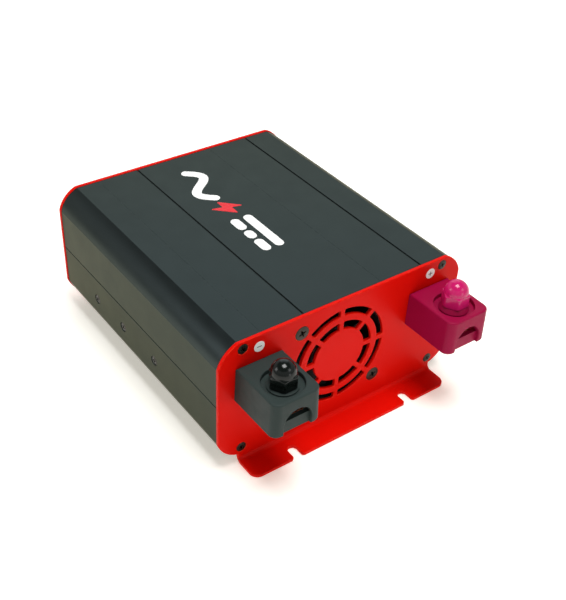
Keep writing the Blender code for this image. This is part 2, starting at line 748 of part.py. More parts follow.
def add_terminal_cover(pole, look):
    """Moulded cover: lug chamber open below, cable arch in front, round nut recess on top."""
    name = f"terminal_cover_{pole}"
    place = (TERMINAL_X[pole], FRONT_Y, 0)
    made = add_object(name, drafted_cover(), look, place)
    recess_floor = TERMINAL_TOP - RECESS_DEPTH
    chamber_top = recess_floor - RECESS_FLOOR
    half = TERMINAL_WIDTH / 2 - TERMINAL_WALL
    panel_back = -TERMINAL_REACH + PANEL_SETBACK + TERMINAL_WALL
    chamber = box((-half, panel_back, TERMINAL_BOTTOM - 1), (half, -TERMINAL_WALL, chamber_top))
    combine(made, name + "_chamber", chamber, "DIFFERENCE", place)
    over = TERMINAL_TOP + 1
    rim = [(0, recess_floor), (RECESS_RADIUS, recess_floor), (RECESS_RADIUS, over), (0, over)]
    combine(made, name + "_recess", turned(rim, 28), "DIFFERENCE", stud_axis(pole))
    sleeve = INSERT_RADIUS + 2 * GAP
    low, high = chamber_top - 1, recess_floor + 1
    passage = turned([(0, low), (sleeve, low), (sleeve, high), (0, high)], 20)
    combine(made, name + "_passage", passage, "DIFFERENCE", stud_axis(pole))
    front = -TERMINAL_REACH
    outline = arch_outline(ARCH_RADIUS, ARCH_TOP, TERMINAL_BOTTOM - 1)
    arch = prism([outline], front - 1, front + PANEL_SETBACK)
    combine(made, name + "_arch", arch, "DIFFERENCE", place)
    mouth = [p for p in arch_outline(ARCH_RADIUS, ARCH_TOP, PANEL_TOP) if p[1] >= PANEL_TOP]
    window = prism([mouth], front + PANEL_SETBACK - 1, panel_back + 1)
    combine(made, name + "_window", window, "DIFFERENCE", place)
    neck_half, low, high = neck_size()
    neck = box((-neck_half, -1, low), (neck_half, PLATE_THICKNESS + NECK_REACH, high))
    combine(made, name + "_neck", neck, "UNION", place)
    catch = PLATE_THICKNESS + GAP
    for label, z in (("low", low), ("high", high)):
        ridge = box((-neck_half, catch, z - CATCH_RISE), (neck_half, catch + CATCH_WIDTH, z + CATCH_RISE))
        combine(made, f"{name}_catch_{label}", ridge, "UNION", place)
    slot = BAR_WIDTH / 2 + GAP, BAR_TOP - BAR_THICKNESS - GAP, BAR_TOP + GAP
    inner_end = PLATE_THICKNESS + NECK_REACH + 1
    through = box((-slot[0], -TERMINAL_WALL - 1, slot[1]), (slot[0], inner_end, slot[2]))
    combine(made, name + "_through", through, "DIFFERENCE", place)


def add_bus_bar(pole):
    """Copper bar from the raised lug seat, through the front plate, down to the board."""
    name = f"bus_bar_{pole}"
    outer = -TERMINAL_REACH + PANEL_SETBACK + TERMINAL_WALL + BAR_END_GAP
    seat_end = -TERMINAL_WALL - BAR_END_GAP
    inner = PLATE_THICKNESS + BAR_INNER_REACH
    bottom = BOARD_TOP + GAP
    profile = [(outer, BAR_TOP), (outer, BAR_TOP - BAR_THICKNESS)]
    profile += [(inner - BAR_THICKNESS, BAR_TOP - BAR_THICKNESS), (inner - BAR_THICKNESS, bottom)]
    profile += [(inner, bottom), (inner, BAR_TOP - BAR_STEP)]
    profile += [(seat_end, BAR_TOP - BAR_STEP), (seat_end, BAR_TOP)]
    bm = prism([profile], -BAR_WIDTH / 2, BAR_WIDTH / 2, "X")
    made = add_object(name, bm, "copper", (TERMINAL_X[pole], FRONT_Y, 0))
    radius = STUD_RADIUS + GAP
    low, high = BAR_TOP - BAR_THICKNESS - 1, BAR_TOP + 1
    hole = turned([(0, low), (radius, low), (radius, high), (0, high)], 20)
    combine(made, name + "_hole", hole, "DIFFERENCE", stud_axis(pole))


def add_stud(pole):
    """Upright stud with its head under the bus bar."""
    under = BAR_TOP - BAR_THICKNESS - GAP
    head, height = STUD_HEAD
    profile = [(0, under - height), (head, under - height), (head, under), (STUD_RADIUS, under)]
    profile += [(STUD_RADIUS, STUD_TOP - STUD_CHAMFER), (STUD_RADIUS - STUD_CHAMFER, STUD_TOP), (0, STUD_TOP)]
    add_object(f"terminal_stud_{pole}", turned(profile, 20), "steel", stud_axis(pole))


def washer_levels(pole):
    bottom = TERMINAL_TOP - RECESS_DEPTH + GAP
    return bottom, bottom + WASHER_THICKNESS[pole]


def nut_levels(pole):
    bottom = washer_levels(pole)[1] + GAP
    return bottom, bottom + NUT_HEIGHT


def add_washer(pole, look):
    """Loose plastic washer in the recess under the nut."""
    bottom, top = washer_levels(pole)
    inner = INSERT_RADIUS + GAP
    profile = [(inner, bottom), (WASHER_RADIUS, bottom), (WASHER_RADIUS, top), (inner, top)]
    add_object(f"terminal_washer_{pole}", turned(profile, 20), look, stud_axis(pole))


def add_nut_insert(pole):
    """Threaded brass sleeve that reaches down through the cover and leaves room for a cable lug."""
    top = nut_levels(pole)[1] - NUT_SKIN - GAP
    bottom = BAR_TOP + LUG_ROOM
    bore = STUD_RADIUS + GAP
    profile = [(bore, bottom), (INSERT_RADIUS, bottom), (INSERT_RADIUS, top), (bore, top)]
    add_object(f"nut_insert_{pole}", turned(profile, 20), "brass", stud_axis(pole))


def add_cap_nut(pole, look):
    """Insulated domed nut: a hexagon under a round dome, hollow for its sleeve."""
    name = f"cap_nut_{pole}"
    bottom, top = nut_levels(pole)
    hex_top = bottom + NUT_HEX_HEIGHT
    corner = NUT_ACROSS_FLATS / math.sqrt(3)
    hexagon = prism([arc((0, 0), corner, 0, 300, 5)], bottom, hex_top, "Z")
    place = stud_axis(pole)
    made = add_object(name, hexagon, look, place)
    chamfer = NUT_ACROSS_FLATS / 2
    limit = turned([
        (0, bottom - 1), (corner + 1, bottom - 1), (corner + 1, hex_top - 0.5),
        (chamfer, hex_top + 0.5), (0, hex_top + 0.5)
    ], 24)
    combine(made, name + "_chamfer", limit, "INTERSECT", place)
    centre = top - NUT_DOME_RADIUS
    dome = [(0, hex_top - 1), (NUT_DOME_RADIUS, hex_top - 1)]
    dome += arc((0, centre), NUT_DOME_RADIUS, 0, 80, 5)
    dome.append((0, top))
    combine(made, name + "_dome", turned(dome, 20), "UNION", place)
    room = INSERT_RADIUS + GAP
    ceiling = top - NUT_SKIN
    cavity = turned([(0, bottom - 1), (room, bottom - 1), (room, ceiling), (0, ceiling)], 20)
    combine(made, name + "_cavity", cavity, "DIFFERENCE", place)


def add_terminal(pole, colour):
    add_terminal_cover(pole, f"terminal_{colour}")
    add_bus_bar(pole)
    add_stud(pole)
    add_washer(pole, f"nut_{colour}")
    add_nut_insert(pole)
    add_cap_nut(pole, f"nut_{colour}")


# ---------------------------------------------------------------- electronics

def add_circuit_board():
    half = CASE_HALF_WIDTH - WALL - GAP
    bm = box((-half, BOARD_FRONT, BOARD_Z), (half, BOARD_BACK, BOARD_TOP))
    add_object("circuit_board", bm, "board_green")


def add_transformer(number, x, y):
    """A laminated double-window core with its winding round the middle leg."""
    foot = BOARD_TOP + GAP
    width, height, depth, leg = 46.0, 44.0, 16.0, 14.0
    window, yoke = 9.0, 8.0
    outline = rectangle(-width / 2, width / 2, foot, foot + height)
    windows = []
    for side in (-1, 1):
        near, far = side * leg / 2, side * (leg / 2 + window)
        windows.append(rectangle(min(near, far), max(near, far), foot + yoke, foot + height - yoke))
    core = prism([outline] + windows, -depth / 2, depth / 2)
    add_object(f"transformer_core_{number}", core, "ferrite", (x, y, 0))
    inner = leg + 2 * GAP, depth + 2 * GAP
    outer = leg + 2 * window - 2 * GAP, depth + 2 * window - 2 * GAP
    plan = [
        rounded_rectangle(outer[0], outer[1], 4.0, 3),
        rounded_rectangle(inner[0], inner[1], 0.5, 1),
    ]
    winding = prism(plan, foot + yoke + GAP, foot + height - yoke - GAP, "Z")
    add_object(f"transformer_winding_{number}", winding, "winding_yellow", (x, y, 0))


def add_capacitor(name, place, size):
    (x, y), (radius, height) = place, size
    foot = BOARD_TOP + GAP
    profile = [(0, foot), (radius - 0.6, foot), (radius, foot + 0.6), (radius, foot + height - 0.6)]
    profile += [(radius - 0.6, foot + height), (0, foot + height)]
    add_object(name, turned(profile, 16), "capacitor_sleeve", (x, y, 0))


def add_choke():
    """A wound ring standing on the board."""
    profile = [(CHOKE_RADIUS + dx, dz) for dx, dz in circle(CHOKE_SECTION, 6)]
    place = (*CHOKE_PLACE, BOARD_TOP + GAP + CHOKE_RADIUS + CHOKE_SECTION)
    add_object("output_choke", turned(profile, 16), "winding_yellow", place, (0, 90, 0))


def add_heat_bar(side_name, sign):
    """Aluminium bar that carries the transistors' heat to the tray's side wall."""
    outer = CASE_HALF_WIDTH - WALL - GAP
    inner = outer - HEAT_BAR_THICKNESS
    start, end = (FRONT_Y + y for y in HEAT_BAR_Y)
    low = BOARD_TOP + GAP + RAIL_THICKNESS + GAP
    x0, x1 = sorted((sign * inner, sign * outer))
    bm = box((x0, start, low), (x1, end, low + HEAT_BAR_HEIGHT))
    made = add_object(f"heat_bar_{side_name}", bm, "aluminium")
    for number, y in enumerate(SIDE_SCREW_Y, 1):
        radius, depth = M3_SHORT[0] / 2 + GAP, M3_SHORT[3] + 2
        hole = turned([(0, -depth), (radius, -depth), (radius, 0), (0, 0)], 12)
        place = (sign * CASE_HALF_WIDTH, FRONT_Y + y, SIDE_SCREW_Z)
        combine(made, f"bar_{side_name}_{number}", hole, "DIFFERENCE", place, (0, sign * 90, 0))


def add_transistors():
    outer = CASE_HALF_WIDTH - WALL - GAP - HEAT_BAR_THICKNESS - GAP
    thickness, width, height = TRANSISTOR_SIZE
    low = BOARD_TOP + GAP
    for side_name, sign in SIDES:
        for number, y in enumerate(SIDE_SCREW_Y, 1):
            x0, x1 = sorted((sign * outer, sign * (outer - thickness)))
            middle = FRONT_Y + y
            bm = box((x0, middle - width / 2, low), (x1, middle + width / 2, low + height))
            add_object(f"transistor_{side_name}_{number}", bm, "package_black")


def add_fuse():
    length, depth, height = FUSE_SIZE
    place = (*FUSE_PLACE, BOARD_TOP + GAP)
    body = box((-length / 2, -depth / 2, 0), (length / 2, depth / 2, height))
    made = add_object("input_fuse", body, "fuse_yellow", place)
    slot = box((-length * 0.35, -depth, height - 2), (length * 0.35, depth, height + 1))
    combine(made, "fuse_slot", slot, "DIFFERENCE", place)


# ---------------------------------------------------------------- rear panel

def rear_place(x, z):
    """A place on the rear plate's outer face, from its own x and z."""
    return (-x, REAR_Y, z)


def add_ac_socket():
    """Mains socket: a square face with a deep round recess and two contact holes in its floor."""
    place = rear_place(SOCKET_X, SOCKET_Z)
    face = prism([rounded_rectangle(SOCKET_FACE, SOCKET_FACE, 5.0, 3)], GAP, SOCKET_PROUD, "Z")
    turn = (-90, 0, 0)
    made = add_object("ac_socket", face, "socket_black", place, turn)
    depth = SOCKET_BODY_DEPTH
    body = turned([(0, -depth), (SOCKET_BODY_RADIUS, -depth), (SOCKET_BODY_RADIUS, 1.0), (0, 1.0)], 32)
    combine(made, "socket_body", body, "UNION", place, turn)
    floor = SOCKET_PROUD - SOCKET_RECESS_DEPTH
    top = SOCKET_PROUD + 1
    recess = turned([(0, floor), (SOCKET_RECESS_RADIUS, floor), (SOCKET_RECESS_RADIUS, top), (0, top)], 32)
    combine(made, "socket_recess", recess, "DIFFERENCE", place, turn)
    for side in (-1, 1):
        end, radius = floor - CONTACT_DEPTH, CONTACT_RADIUS
        contact = turned([(0, end), (radius, end), (radius, floor + 1), (0, floor + 1)], 12)
        label = "socket_contact_" + ("left" if side < 0 else "right")
        spot = rear_place(SOCKET_X + side * CONTACT_SPACING / 2, SOCKET_Z)
        combine(made, label, contact, "DIFFERENCE", spot, turn)


def add_switch():
    """Snap-in switch body and its rocker, which is drawn with its lower, off end pressed in."""
    place = rear_place(CONTROL_X, SWITCH_Z)
    turn = (-90, 0, 0)
    bezel = prism([rounded_rectangle(SWITCH_WIDTH, SWITCH_HEIGHT, 1.5, 2)], GAP, SWITCH_PROUD, "Z")
    body = add_object("switch_body", bezel, "socket_black", place, turn)
    half_width, half_height = SWITCH_WIDTH / 2 - SWITCH_RIM, SWITCH_HEIGHT / 2 - SWITCH_RIM
    back = rectangle(-half_width, half_width, -half_height, half_height)
    combine(body, "switch_back", prism([back], -SWITCH_DEPTH, 1.0, "Z"), "UNION", place, turn)
    well = ROCKER_WIDTH / 2 + GAP, ROCKER_HEIGHT / 2 + 2 * GAP
    room = prism([rectangle(-well[0], well[0], -well[1], well[1])], -WELL_DEPTH, SWITCH_PROUD + 1, "Z")
    combine(body, "switch_well", room, "DIFFERENCE", place, turn)
    half, reach = ROCKER_WIDTH / 2, ROCKER_HEIGHT / 2
    outline = arc((0, 0), reach, 200, 340, 8)
    outline += [(reach * 0.92, ROCKER_CREST), (0, ROCKER_VALLEY), (-reach * 0.92, ROCKER_CREST)]
    paddle = prism([outline], -half, half, "X")
    add_object("switch_rocker", paddle, "socket_black", place, (-90 - ROCKER_TILT, 0, 0))


def add_status_light():
    """A lamp with a low dome and a rim that rests on the plate."""
    rim, dome = 1.0, 1.6
    profile = [(0, -LED_DEPTH), (LED_RADIUS, -LED_DEPTH), (LED_RADIUS, GAP), (LED_RIM, GAP), (LED_RIM, rim)]
    profile += [(LED_RIM * math.cos(a), rim + dome * math.sin(a)) for a in (0.5, 1.0)]
    profile.append((0, rim + dome))
    add_object("status_light", turned(profile, 16), "light_green", rear_place(CONTROL_X, LED_Z), (-90, 0, 0))


def add_remote_port():
    """Small six-contact modular jack, flush in the rear plate."""
    place = rear_place(CONTROL_X, PORT_Z)
    half_width, half_height, depth = PORT_SIZE[0] / 2, PORT_SIZE[1] / 2, PORT_SIZE[2]
    shell = prism([rectangle(-half_width, half_width, -half_height, half_height)], -depth, PORT_PROUD, "Z")
    made = add_object("remote_port", shell, "socket_black", place, (-90, 0, 0))
    half_width, half_height, depth = PORT_OPENING[0] / 2, PORT_OPENING[1] / 2, PORT_OPENING[2]
    opening = prism([rectangle(-half_width, half_width, -half_height, half_height)], -depth, 2.0, "Z")
    combine(made, "port_opening", opening, "DIFFERENCE", place, (-90, 0, 0))
    latch, rise = PORT_LATCH[0] / 2, PORT_LATCH[1]
    notch = prism([rectangle(-latch, latch, half_height - GAP, half_height + rise - GAP)], -depth, 2.0, "Z")
    combine(made, "port_latch", notch, "DIFFERENCE", place, (-90, 0, 0))


def main():
    clear_scene()
    add_top_cover()
    add_base_tray()
    add_front_plate()
    add_rear_plate()
    add_side_screws()
    add_fan_frame()
    add_fan_rotor()
    add_terminal("negative", "black")
    add_terminal("positive", "magenta")
    add_circuit_board()
    for number, place in enumerate(TRANSFORMER_PLACES, 1):
        add_transformer(number, *place)
    for number, place in enumerate(INPUT_CAPACITOR_PLACES, 1):
        add_capacitor(f"input_capacitor_{number}", place, INPUT_CAPACITOR_SIZE)
    add_capacitor("output_capacitor", OUTPUT_CAPACITOR_PLACE, OUTPUT_CAPACITOR_SIZE)
    add_choke()
    add_fuse()
    for side_name, sign in SIDES:
        add_heat_bar(side_name, sign)
    add_transistors()
    add_ac_socket()
    add_switch()
    add_status_light()
    add_remote_port()


main()
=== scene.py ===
"""Looks of a mains inverter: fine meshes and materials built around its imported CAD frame.

Lengths are in millimetres and become metres where a mesh is made. Sizes and places come from the
frame's nodes; the constants below add the detail that the frame leaves out.
"""

import json
from functools import cache, partial
from math import asin, atan2, cos, degrees, pi, radians, sin, sqrt, tan, tau

import bmesh
import bpy
from mathutils import Matrix, Quaternion, Vector
from mathutils.geometry import delaunay_2d_cdt, intersect_line_sphere_2d


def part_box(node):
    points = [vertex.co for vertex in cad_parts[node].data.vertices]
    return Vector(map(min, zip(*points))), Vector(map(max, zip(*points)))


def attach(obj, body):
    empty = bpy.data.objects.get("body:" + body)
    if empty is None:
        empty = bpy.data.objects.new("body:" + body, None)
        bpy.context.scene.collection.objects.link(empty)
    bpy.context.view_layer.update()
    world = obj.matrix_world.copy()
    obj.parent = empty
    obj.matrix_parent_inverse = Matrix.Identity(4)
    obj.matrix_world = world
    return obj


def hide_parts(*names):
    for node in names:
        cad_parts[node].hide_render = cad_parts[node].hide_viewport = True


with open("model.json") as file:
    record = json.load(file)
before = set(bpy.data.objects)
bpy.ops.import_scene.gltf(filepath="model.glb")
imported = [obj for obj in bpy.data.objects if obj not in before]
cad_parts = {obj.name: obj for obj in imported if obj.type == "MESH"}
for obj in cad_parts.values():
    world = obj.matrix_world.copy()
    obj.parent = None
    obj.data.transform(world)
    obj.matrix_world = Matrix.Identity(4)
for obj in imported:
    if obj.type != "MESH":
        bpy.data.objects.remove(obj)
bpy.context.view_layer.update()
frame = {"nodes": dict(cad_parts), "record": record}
MM = 0.001
GAP = 0.3
SHARP_ANGLE = 35.0

# Case section; a groove is its place along X, width and depth
FLAT_INSET = 10.85
CORNER_DROP = 12.0
CORNER_BULGE = 2.0
CORNER_STEPS = 14
WALL = 2.0
LIP_THICKNESS = 1.0
LIP_REACH = 5.0
LIP_EDGE = 0.4
RAIL_REACH = 4.0
RAIL_THICKNESS = 1.2
PORT_RADIUS = 3.6
THREAD_RADIUS = 1.35
GROOVES = ((48.9, 1.0, 0.6), (22.1, 0.3, 0.06), (-26.7, 1.0, 0.6), (-51.7, 0.3, 0.06))
GROOVE_LIP = 0.12
SHELL_EDGE = 0.08
SHELL_SHARP = 12.0
PARTING_LIP = 0.35

# End plates
PLATE_THICKNESS = 2.0
PLATE_EDGE = 0.4
PLATE_MARGIN = 0.4
FOOT_HALF = 64.7
FOOT_REACH = 15.0
FOOT_CORNER = 5.0
BEND_RADIUS = 2.5
BEND_STEPS = 14
SLOT_X = 37.4
SLOT_WIDTH = 5.2
SLOT_DEPTH = 8.0
SLOT_MOUTH = 1.6
GRILLE_RINGS = ((16.0, 20.9), (24.8, 28.8))
GRILLE_SPOKES = 8
SPOKE_WIDTH = 2.7
GRILLE_STEPS = 12
GRILLE_FILLET = 0.5

# Screws; their shares are parts of the head radius, a cross is its wing length and half width
FRONT, BACK = (0, -1, 0), (0, 1, 0)
LEVELS, SIDES = ("upper", "lower"), ("left", "right")
FRONT_SCREWS = [name for level in LEVELS for name in (
    f"front_plate_screw_{level}_left", f"front_plate_screw_{level}_right", f"fan_screw_{level}")]
REAR_SCREWS = [f"rear_plate_screw_{level}_{side}" for level in LEVELS for side in SIDES]
SIDE_SCREWS = [f"side_screw_{side}_{number}" for side in SIDES for number in (1, 2, 3)]
HEAD_CROWN = 0.3
HEAD_SHARE = 0.5
SHANK_SHARE = 0.46
CROSS_WIDE = (0.56, 0.13)
CROSS_NARROW = (0.3, 0.07)
CROSS_ANGLE = 20.0
SIDE_CROSS_STEP = 31.0
SCREW_SIDES = 26
SCREW_PITCH = 0.5
SCREW_THREAD = 0.25
SEAT_GAP = 0.25
SEAT_DEPTH = 4.0
SEAT_STEP = 0.1

# Terminals; a stud's head is its radius and height
COVER_CORNER = 4.5
COVER_DRAFT = 0.6
COVER_EDGE = 1.0
COVER_WALL = 2.6
RECESS_RADIUS = 10.6
RECESS_DEPTH = 2.5
RECESS_FLOOR = 3.0
PASSAGE_RADIUS = 5.6
CHAMBER_EDGE = 0.8
ARCH_RADIUS = 8.0
ARCH_DROP = 6.9
PANEL_SETBACK = 2.0
PANEL_DROP = 13.6
SOFT_EDGE = 0.45
NECK_CAP = 2.4
NECK_REACH = 6.0
BAR_THICKNESS = 3.0
BAR_STEP = 0.5
BAR_END_GAP = 1.5
BORE_RADIUS = 4.0
STUD_RADIUS = 3.7
STUD_HEAD = (6.5, 2.2)
STUD_POINT = 0.7
THREAD_DEPTH = 0.55
THREAD_PITCH = 1.25
NUT_ACROSS_FLATS = 13.0
NUT_HEX_HEIGHT = 7.0
NUT_DOME_RADIUS = 6.4
NUT_SKIN = 5.5
NUT_STEPS = 40
WASHER_RIM = 0.5
INSERT_RADIUS = 5.0
INSERT_EDGE = 0.4
KNURL_RIDGES = 40
KNURL_DEPTH = 0.18

# Fan; heights count outwards from the frame's front, pitch and chord are the root's and what the tip adds
HUB_RADIUS = 14.5
HUB_WALL = 2.2
HUB_FRONT = -2.0
HUB_BACK = -20.5
SHAFT = (1.5, -16.5)
BLADE_COUNT = 7
BLADE_ROOT = 13.8
BLADE_TIP = 27.6
BLADE_MIDDLE = -12.0
BLADE_PITCH = (48, -18)
BLADE_HALF_CHORD = (6.2, 2.6)
BLADE_HALF_THICKNESS = 0.6
BLADE_CAMBER = 1.1

# Rear panel; a rib or pocket is its two ends' distance from the middle and its half width, a clip's path
# is distances from the middle and heights above the recess floor
SOCKET_HOLE_RADIUS = 21.8
SOCKET_RECESS_RADIUS = 19.5
SOCKET_RECESS_DEPTH = 17.5
SOCKET_WALL = 2.0
SOCKET_BODY_DEPTH = 22.0
SOCKET_EDGE = 0.9
RIB = (17.9, 20.3, 2.4)
CLIP_POCKET = (17.0, 20.8, 4.0)
CLIP_THICKNESS = 0.6
CLIP_HALF_WIDTH = 2.6
CLIP_PATH = ((20.3, 1.0), (19.9, 5.0), (18.0, 10.5), (17.7, 12.0), (18.1, 13.3), (20.0, 15.1))
CONTACT_SPACING = 19.0
CONTACT_HOLE = (2.6, 6.0)
CONTACT_TUBE = (1.9, 2.4)
LIGHT_HOLE_RADIUS = 2.8
SWITCH_OVERLAP = 0.7
SWITCH_WELL = 9.0
ROCKER_TILT = 12.0
ROCKER_LENGTH = 15.6
ROCKER_CREST = 3.2
ROCKER_VALLEY = 1.2
CREST_SHARE = 0.92
PORT_OPENING = (9.8, 6.8, 11.0)
PORT_LATCH = (4.0, 1.4)
PIN_SPACING = 1.02
PIN_HALF_WIDTH = 0.17
PIN_THICKNESS = 0.3
VENT_X = (-56.0, -50.5, -45.0, -39.5, -34.0, -28.5)
VENT_WIDTH = 2.6
VENT_Z = (20.0, 64.0)

# Prints
PRINT_LENGTH = 93.0
PRINT_HEIGHT = 19.0
PRINT_X = -5.0
PRINT_Y = 27.5
PRINT_THICKNESS = 0.06
PRINT_SINK = 0.01
LABEL_RADIUS = 3.0
LABEL_DROP = 6.8
LABEL_THICKNESS = 0.12
MARK_HALF_WIDTH = 0.22

# Camera, studio and the colour that grey metal reflects at a grazing angle
TARGET = Vector((1.117, -19.646, 40.97))
DISTANCE = 539.067
AZIMUTH = -37.388
ELEVATION = 37.156
ROLL = 2.7585
LENS = 58.838
SKY = ((0.0, 0.4), (0.35, 0.5), (0.5, 0.6), (0.7, 0.08), (0.88, 0.06), (1.0, 0.2))
FLOOR_HALF = 4000
FLOOR_GLOW = (1.0, 0.95, 0.82)
GLOW_STRENGTH = 0.38
GREY_TINT = (0.6, 0.58, 0.48)


# ---- frame

def span(node):
    """Lowest and highest corner of a CAD node, in millimetres."""
    low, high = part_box(node)
    return low / MM, high / MM


def middle(node):
    """Middle of a CAD node, in millimetres."""
    return [(low + high) / 2 for low, high in zip(*span(node))]


def body_of(node):
    """The CAD body that a node belongs to."""
    bodies = frame["record"]["behaviour"]["bodies"]
    return next(body for body, members in bodies.items() if node in members)


COVER_LOW, COVER_HIGH = span("top_cover")
TRAY_LOW, TRAY_HIGH = span("base_tray")
PLATE_HIGH = span("front_plate")[1]
SECTION_MIDDLE = (COVER_HIGH.z + TRAY_LOW.z) / 2
FRONT_Y = PLATE_HIGH.y - PLATE_THICKNESS
REAR_Y = span("rear_plate")[0].y + PLATE_THICKNESS
FAN_CENTRE = Vector(middle("fan_frame"))


# ---- outlines

def arc(centre, radius, start, end, steps):
    """Points on a circle from start to end degrees, both ends included."""
    points = []
    for step in range(steps + 1):
        angle = radians(start + (end - start) * step / steps)
        points.append((centre[0] + radius * cos(angle), centre[1] + radius * sin(angle)))
    return points


def circle(radius, steps, centre=(0, 0)):
    return arc(centre, radius, 0, 360 - 360 / steps, steps - 1)


def bearing(vector):
    return degrees(atan2(vector.y, vector.x))


def bulged(start, end, bulge, steps):
    """Points of the arc from start to end that stands bulge to the right of the straight line."""
    first, last = Vector(start), Vector(end)
    chord = last - first
    across = Vector((chord.y, -chord.x)).normalized()
    radius = (chord.length_squared / 4 + bulge * bulge) / (2 * bulge)
    centre = (first + last) / 2 + across * (bulge - radius)
    half = degrees(asin(chord.length / 2 / radius))
    way = bearing(across)
    return arc(centre, radius, way - half, way + half, steps)


def rectangle(x0, x1, z0, z1):
    return [(x0, z0), (x1, z0), (x1, z1), (x0, z1)]


def rounded_rectangle(width, height, radius, steps=6):
    return fillet(rectangle(-width / 2, width / 2, -height / 2, height / 2), radius, steps)


def mirrored(points):
    """The points on the other side of the middle, in the opposite order."""
    return [(-x, z) for x, z in reversed(points)]


def fillet(points, radius, steps=4, closed=True):
    """The outline with its corners rounded; radius is one number, or one for each point."""
    count = len(points)
    radii = [radius] * count if isinstance(radius, (int, float)) else radius
    made = []
    for i, (point, r) in enumerate(zip(points, radii)):
        here = Vector(point)
        to_last = Vector(points[i - 1]) - here
        to_next = Vector(points[(i + 1) % count]) - here
        open_end = not closed and i in (0, count - 1)
        half = pi / 2 if r <= 0 or open_end else to_last.angle(to_next) / 2
        if half > radians(88):
            made.append(tuple(here))
            continue
        reach = min(r / tan(half), to_last.length * 0.49, to_next.length * 0.49)
        r = reach * tan(half)
        centre = here + (to_last.normalized() + to_next.normalized()).normalized() * r / sin(half)
        first = here + to_last.normalized() * reach - centre
        last = here + to_next.normalized() * reach - centre
        start = bearing(first)
        swing = (bearing(last) - start + 180) % 360 - 180
        made += arc(centre, r, start, start + swing, steps)
    return made


def rounded_path(points, radii, steps=4):
    """An open path with its inner corners rounded."""
    return fillet(points, radii, steps, closed=False)


def area(loop):
    return sum(a[0] * b[1] - b[0] * a[1] for a, b in zip(loop, loop[1:] + loop[:1])) / 2


def offset(loop, distance):
    """The closed outline moved to its left by distance."""
    points = []
    for before, here, after in zip(loop[-1:] + loop[:-1], loop, loop[1:] + loop[:1]):
        first = (Vector(here) - Vector(before)).normalized()
        second = (Vector(after) - Vector(here)).normalized()
        across = Vector((-first.y - second.y, first.x + second.x))
        points.append(tuple(Vector(here) + across * (2 * distance / across.length_squared)))
    return points


def inside(point, loop):
    """True where a point lies within a closed outline."""
    crossings = 0
    for (x0, y0), (x1, y1) in zip(loop, loop[1:] + loop[:1]):
        if (y0 > point[1]) != (y1 > point[1]):
            crossings += point[0] < x0 + (x1 - x0) * (point[1] - y0) / (y1 - y0)
    return crossings % 2 == 1


def triangles_between(loops):
    """Triangles, as point numbers, that fill the first loop around the holes of the others."""
    points, edges = [], []
    for loop in loops:
        first = len(points)
        points += [Vector(point) for point in loop]
        edges += [(first + i, first + (i + 1) % len(loop)) for i in range(len(loop))]
    for face in delaunay_2d_cdt(points, edges, [], 0, 0.00001)[2]:
        centre = sum((points[i] for i in face), Vector((0, 0))) / len(face)
        if inside(centre, loops[0]) and not any(inside(centre, hole) for hole in loops[1:]):
            yield face


# ---- solids

def on_axis(axis, across, up, along):
    """A point of an outline (across, up) at a height along the axis of its solid."""
    return {
        "X": Vector((along, across, up)),
        "Y": Vector((across, along, up)),
        "Z": Vector((across, up, along)),
    }[axis]


def bridge(bm, near, far):
    """Faces between two rings of vertices; either may be a single vertex."""
    count = max(len(near), len(far))
    for i in range(count):
        j = (i + 1) % count
        corners = [near[i % len(near)], near[j % len(near)], far[j % len(far)], far[i % len(far)]]
        bm.faces.new(list(dict.fromkeys(corners)))


def loft(rings, ring_shut=False):
    """A skin through rings of points. Its ends are capped, or joined to each other by ring_shut."""
    bm = bmesh.new()
    made = [[bm.verts.new(point) for point in ring] for ring in rings]
    for near, far in zip(made, made[1:]):
        bridge(bm, near, far)
    if ring_shut:
        bridge(bm, made[-1], made[0])
        return bm
    for end in (made[0], made[-1]):
        if len(end) > 2:
            bm.faces.new(end)
    return bm


def stacked(loops, heights, axis, bm=None):
    """A solid through (height, inset) layers of its outline, the first loop, and its holes."""
    bm = bm or bmesh.new()
    loops = [loop if (area(loop) > 0) == (i == 0) else loop[::-1] for i, loop in enumerate(loops)]
    stack = []
    for height, inset in heights:
        moved = [offset(loop, inset) if inset else loop for loop in loops]
        rings = [[bm.verts.new(on_axis(axis, a, b, height)) for a, b in loop] for loop in moved]
        stack.append((moved, rings))
    for (_, near), (_, far) in zip(stack, stack[1:]):
        for near_ring, far_ring in zip(near, far):
            bridge(bm, near_ring, far_ring)
    for moved, rings in (stack[0], stack[-1]):
        flat = [vert for ring in rings for vert in ring]
        for triangle in triangles_between(moved):
            bm.faces.new([flat[i] for i in triangle])
    return bm


def rounding(height, way, edge, steps):
    """Heights and insets of an edge's rounding, from the end of a solid inwards."""
    turns = [radians(90 * step / steps) for step in range(steps + 1)]
    return [(height + way * edge * (1 - cos(a)), edge * (1 - sin(a))) for a in turns]


def layers(start, end, edge, steps):
    """Heights and insets of a solid's layers, with both ends' edges rounded."""
    if not edge:
        return [(start, 0.0), (end, 0.0)]
    way = 1 if end > start else -1
    return rounding(start, way, edge, steps) + rounding(end, -way, edge, steps)[::-1]


def prism(loops, start, end, edge=0.0, axis="Y", steps=3, bm=None):
    """A straight solid with the first loop as its outline and any further loops as holes."""
    return stacked(loops, layers(start, end, edge, steps), axis, bm)


def flared_cutter(loop, opening, floor, flare, axis="Y"):
    """A cutter for a pocket whose mouth has a rounded lip."""
    way = 1 if floor > opening else -1
    lip = [(height, -inset) for height, inset in rounding(opening, way, flare, 4)]
    return stacked([loop], [(opening - way, -flare)] + lip + [(floor, 0.0)], axis)


def box(low, high, edge=0.0):
    return prism([rectangle(low[0], high[0], low[2], high[2])], low[1], high[1], edge)


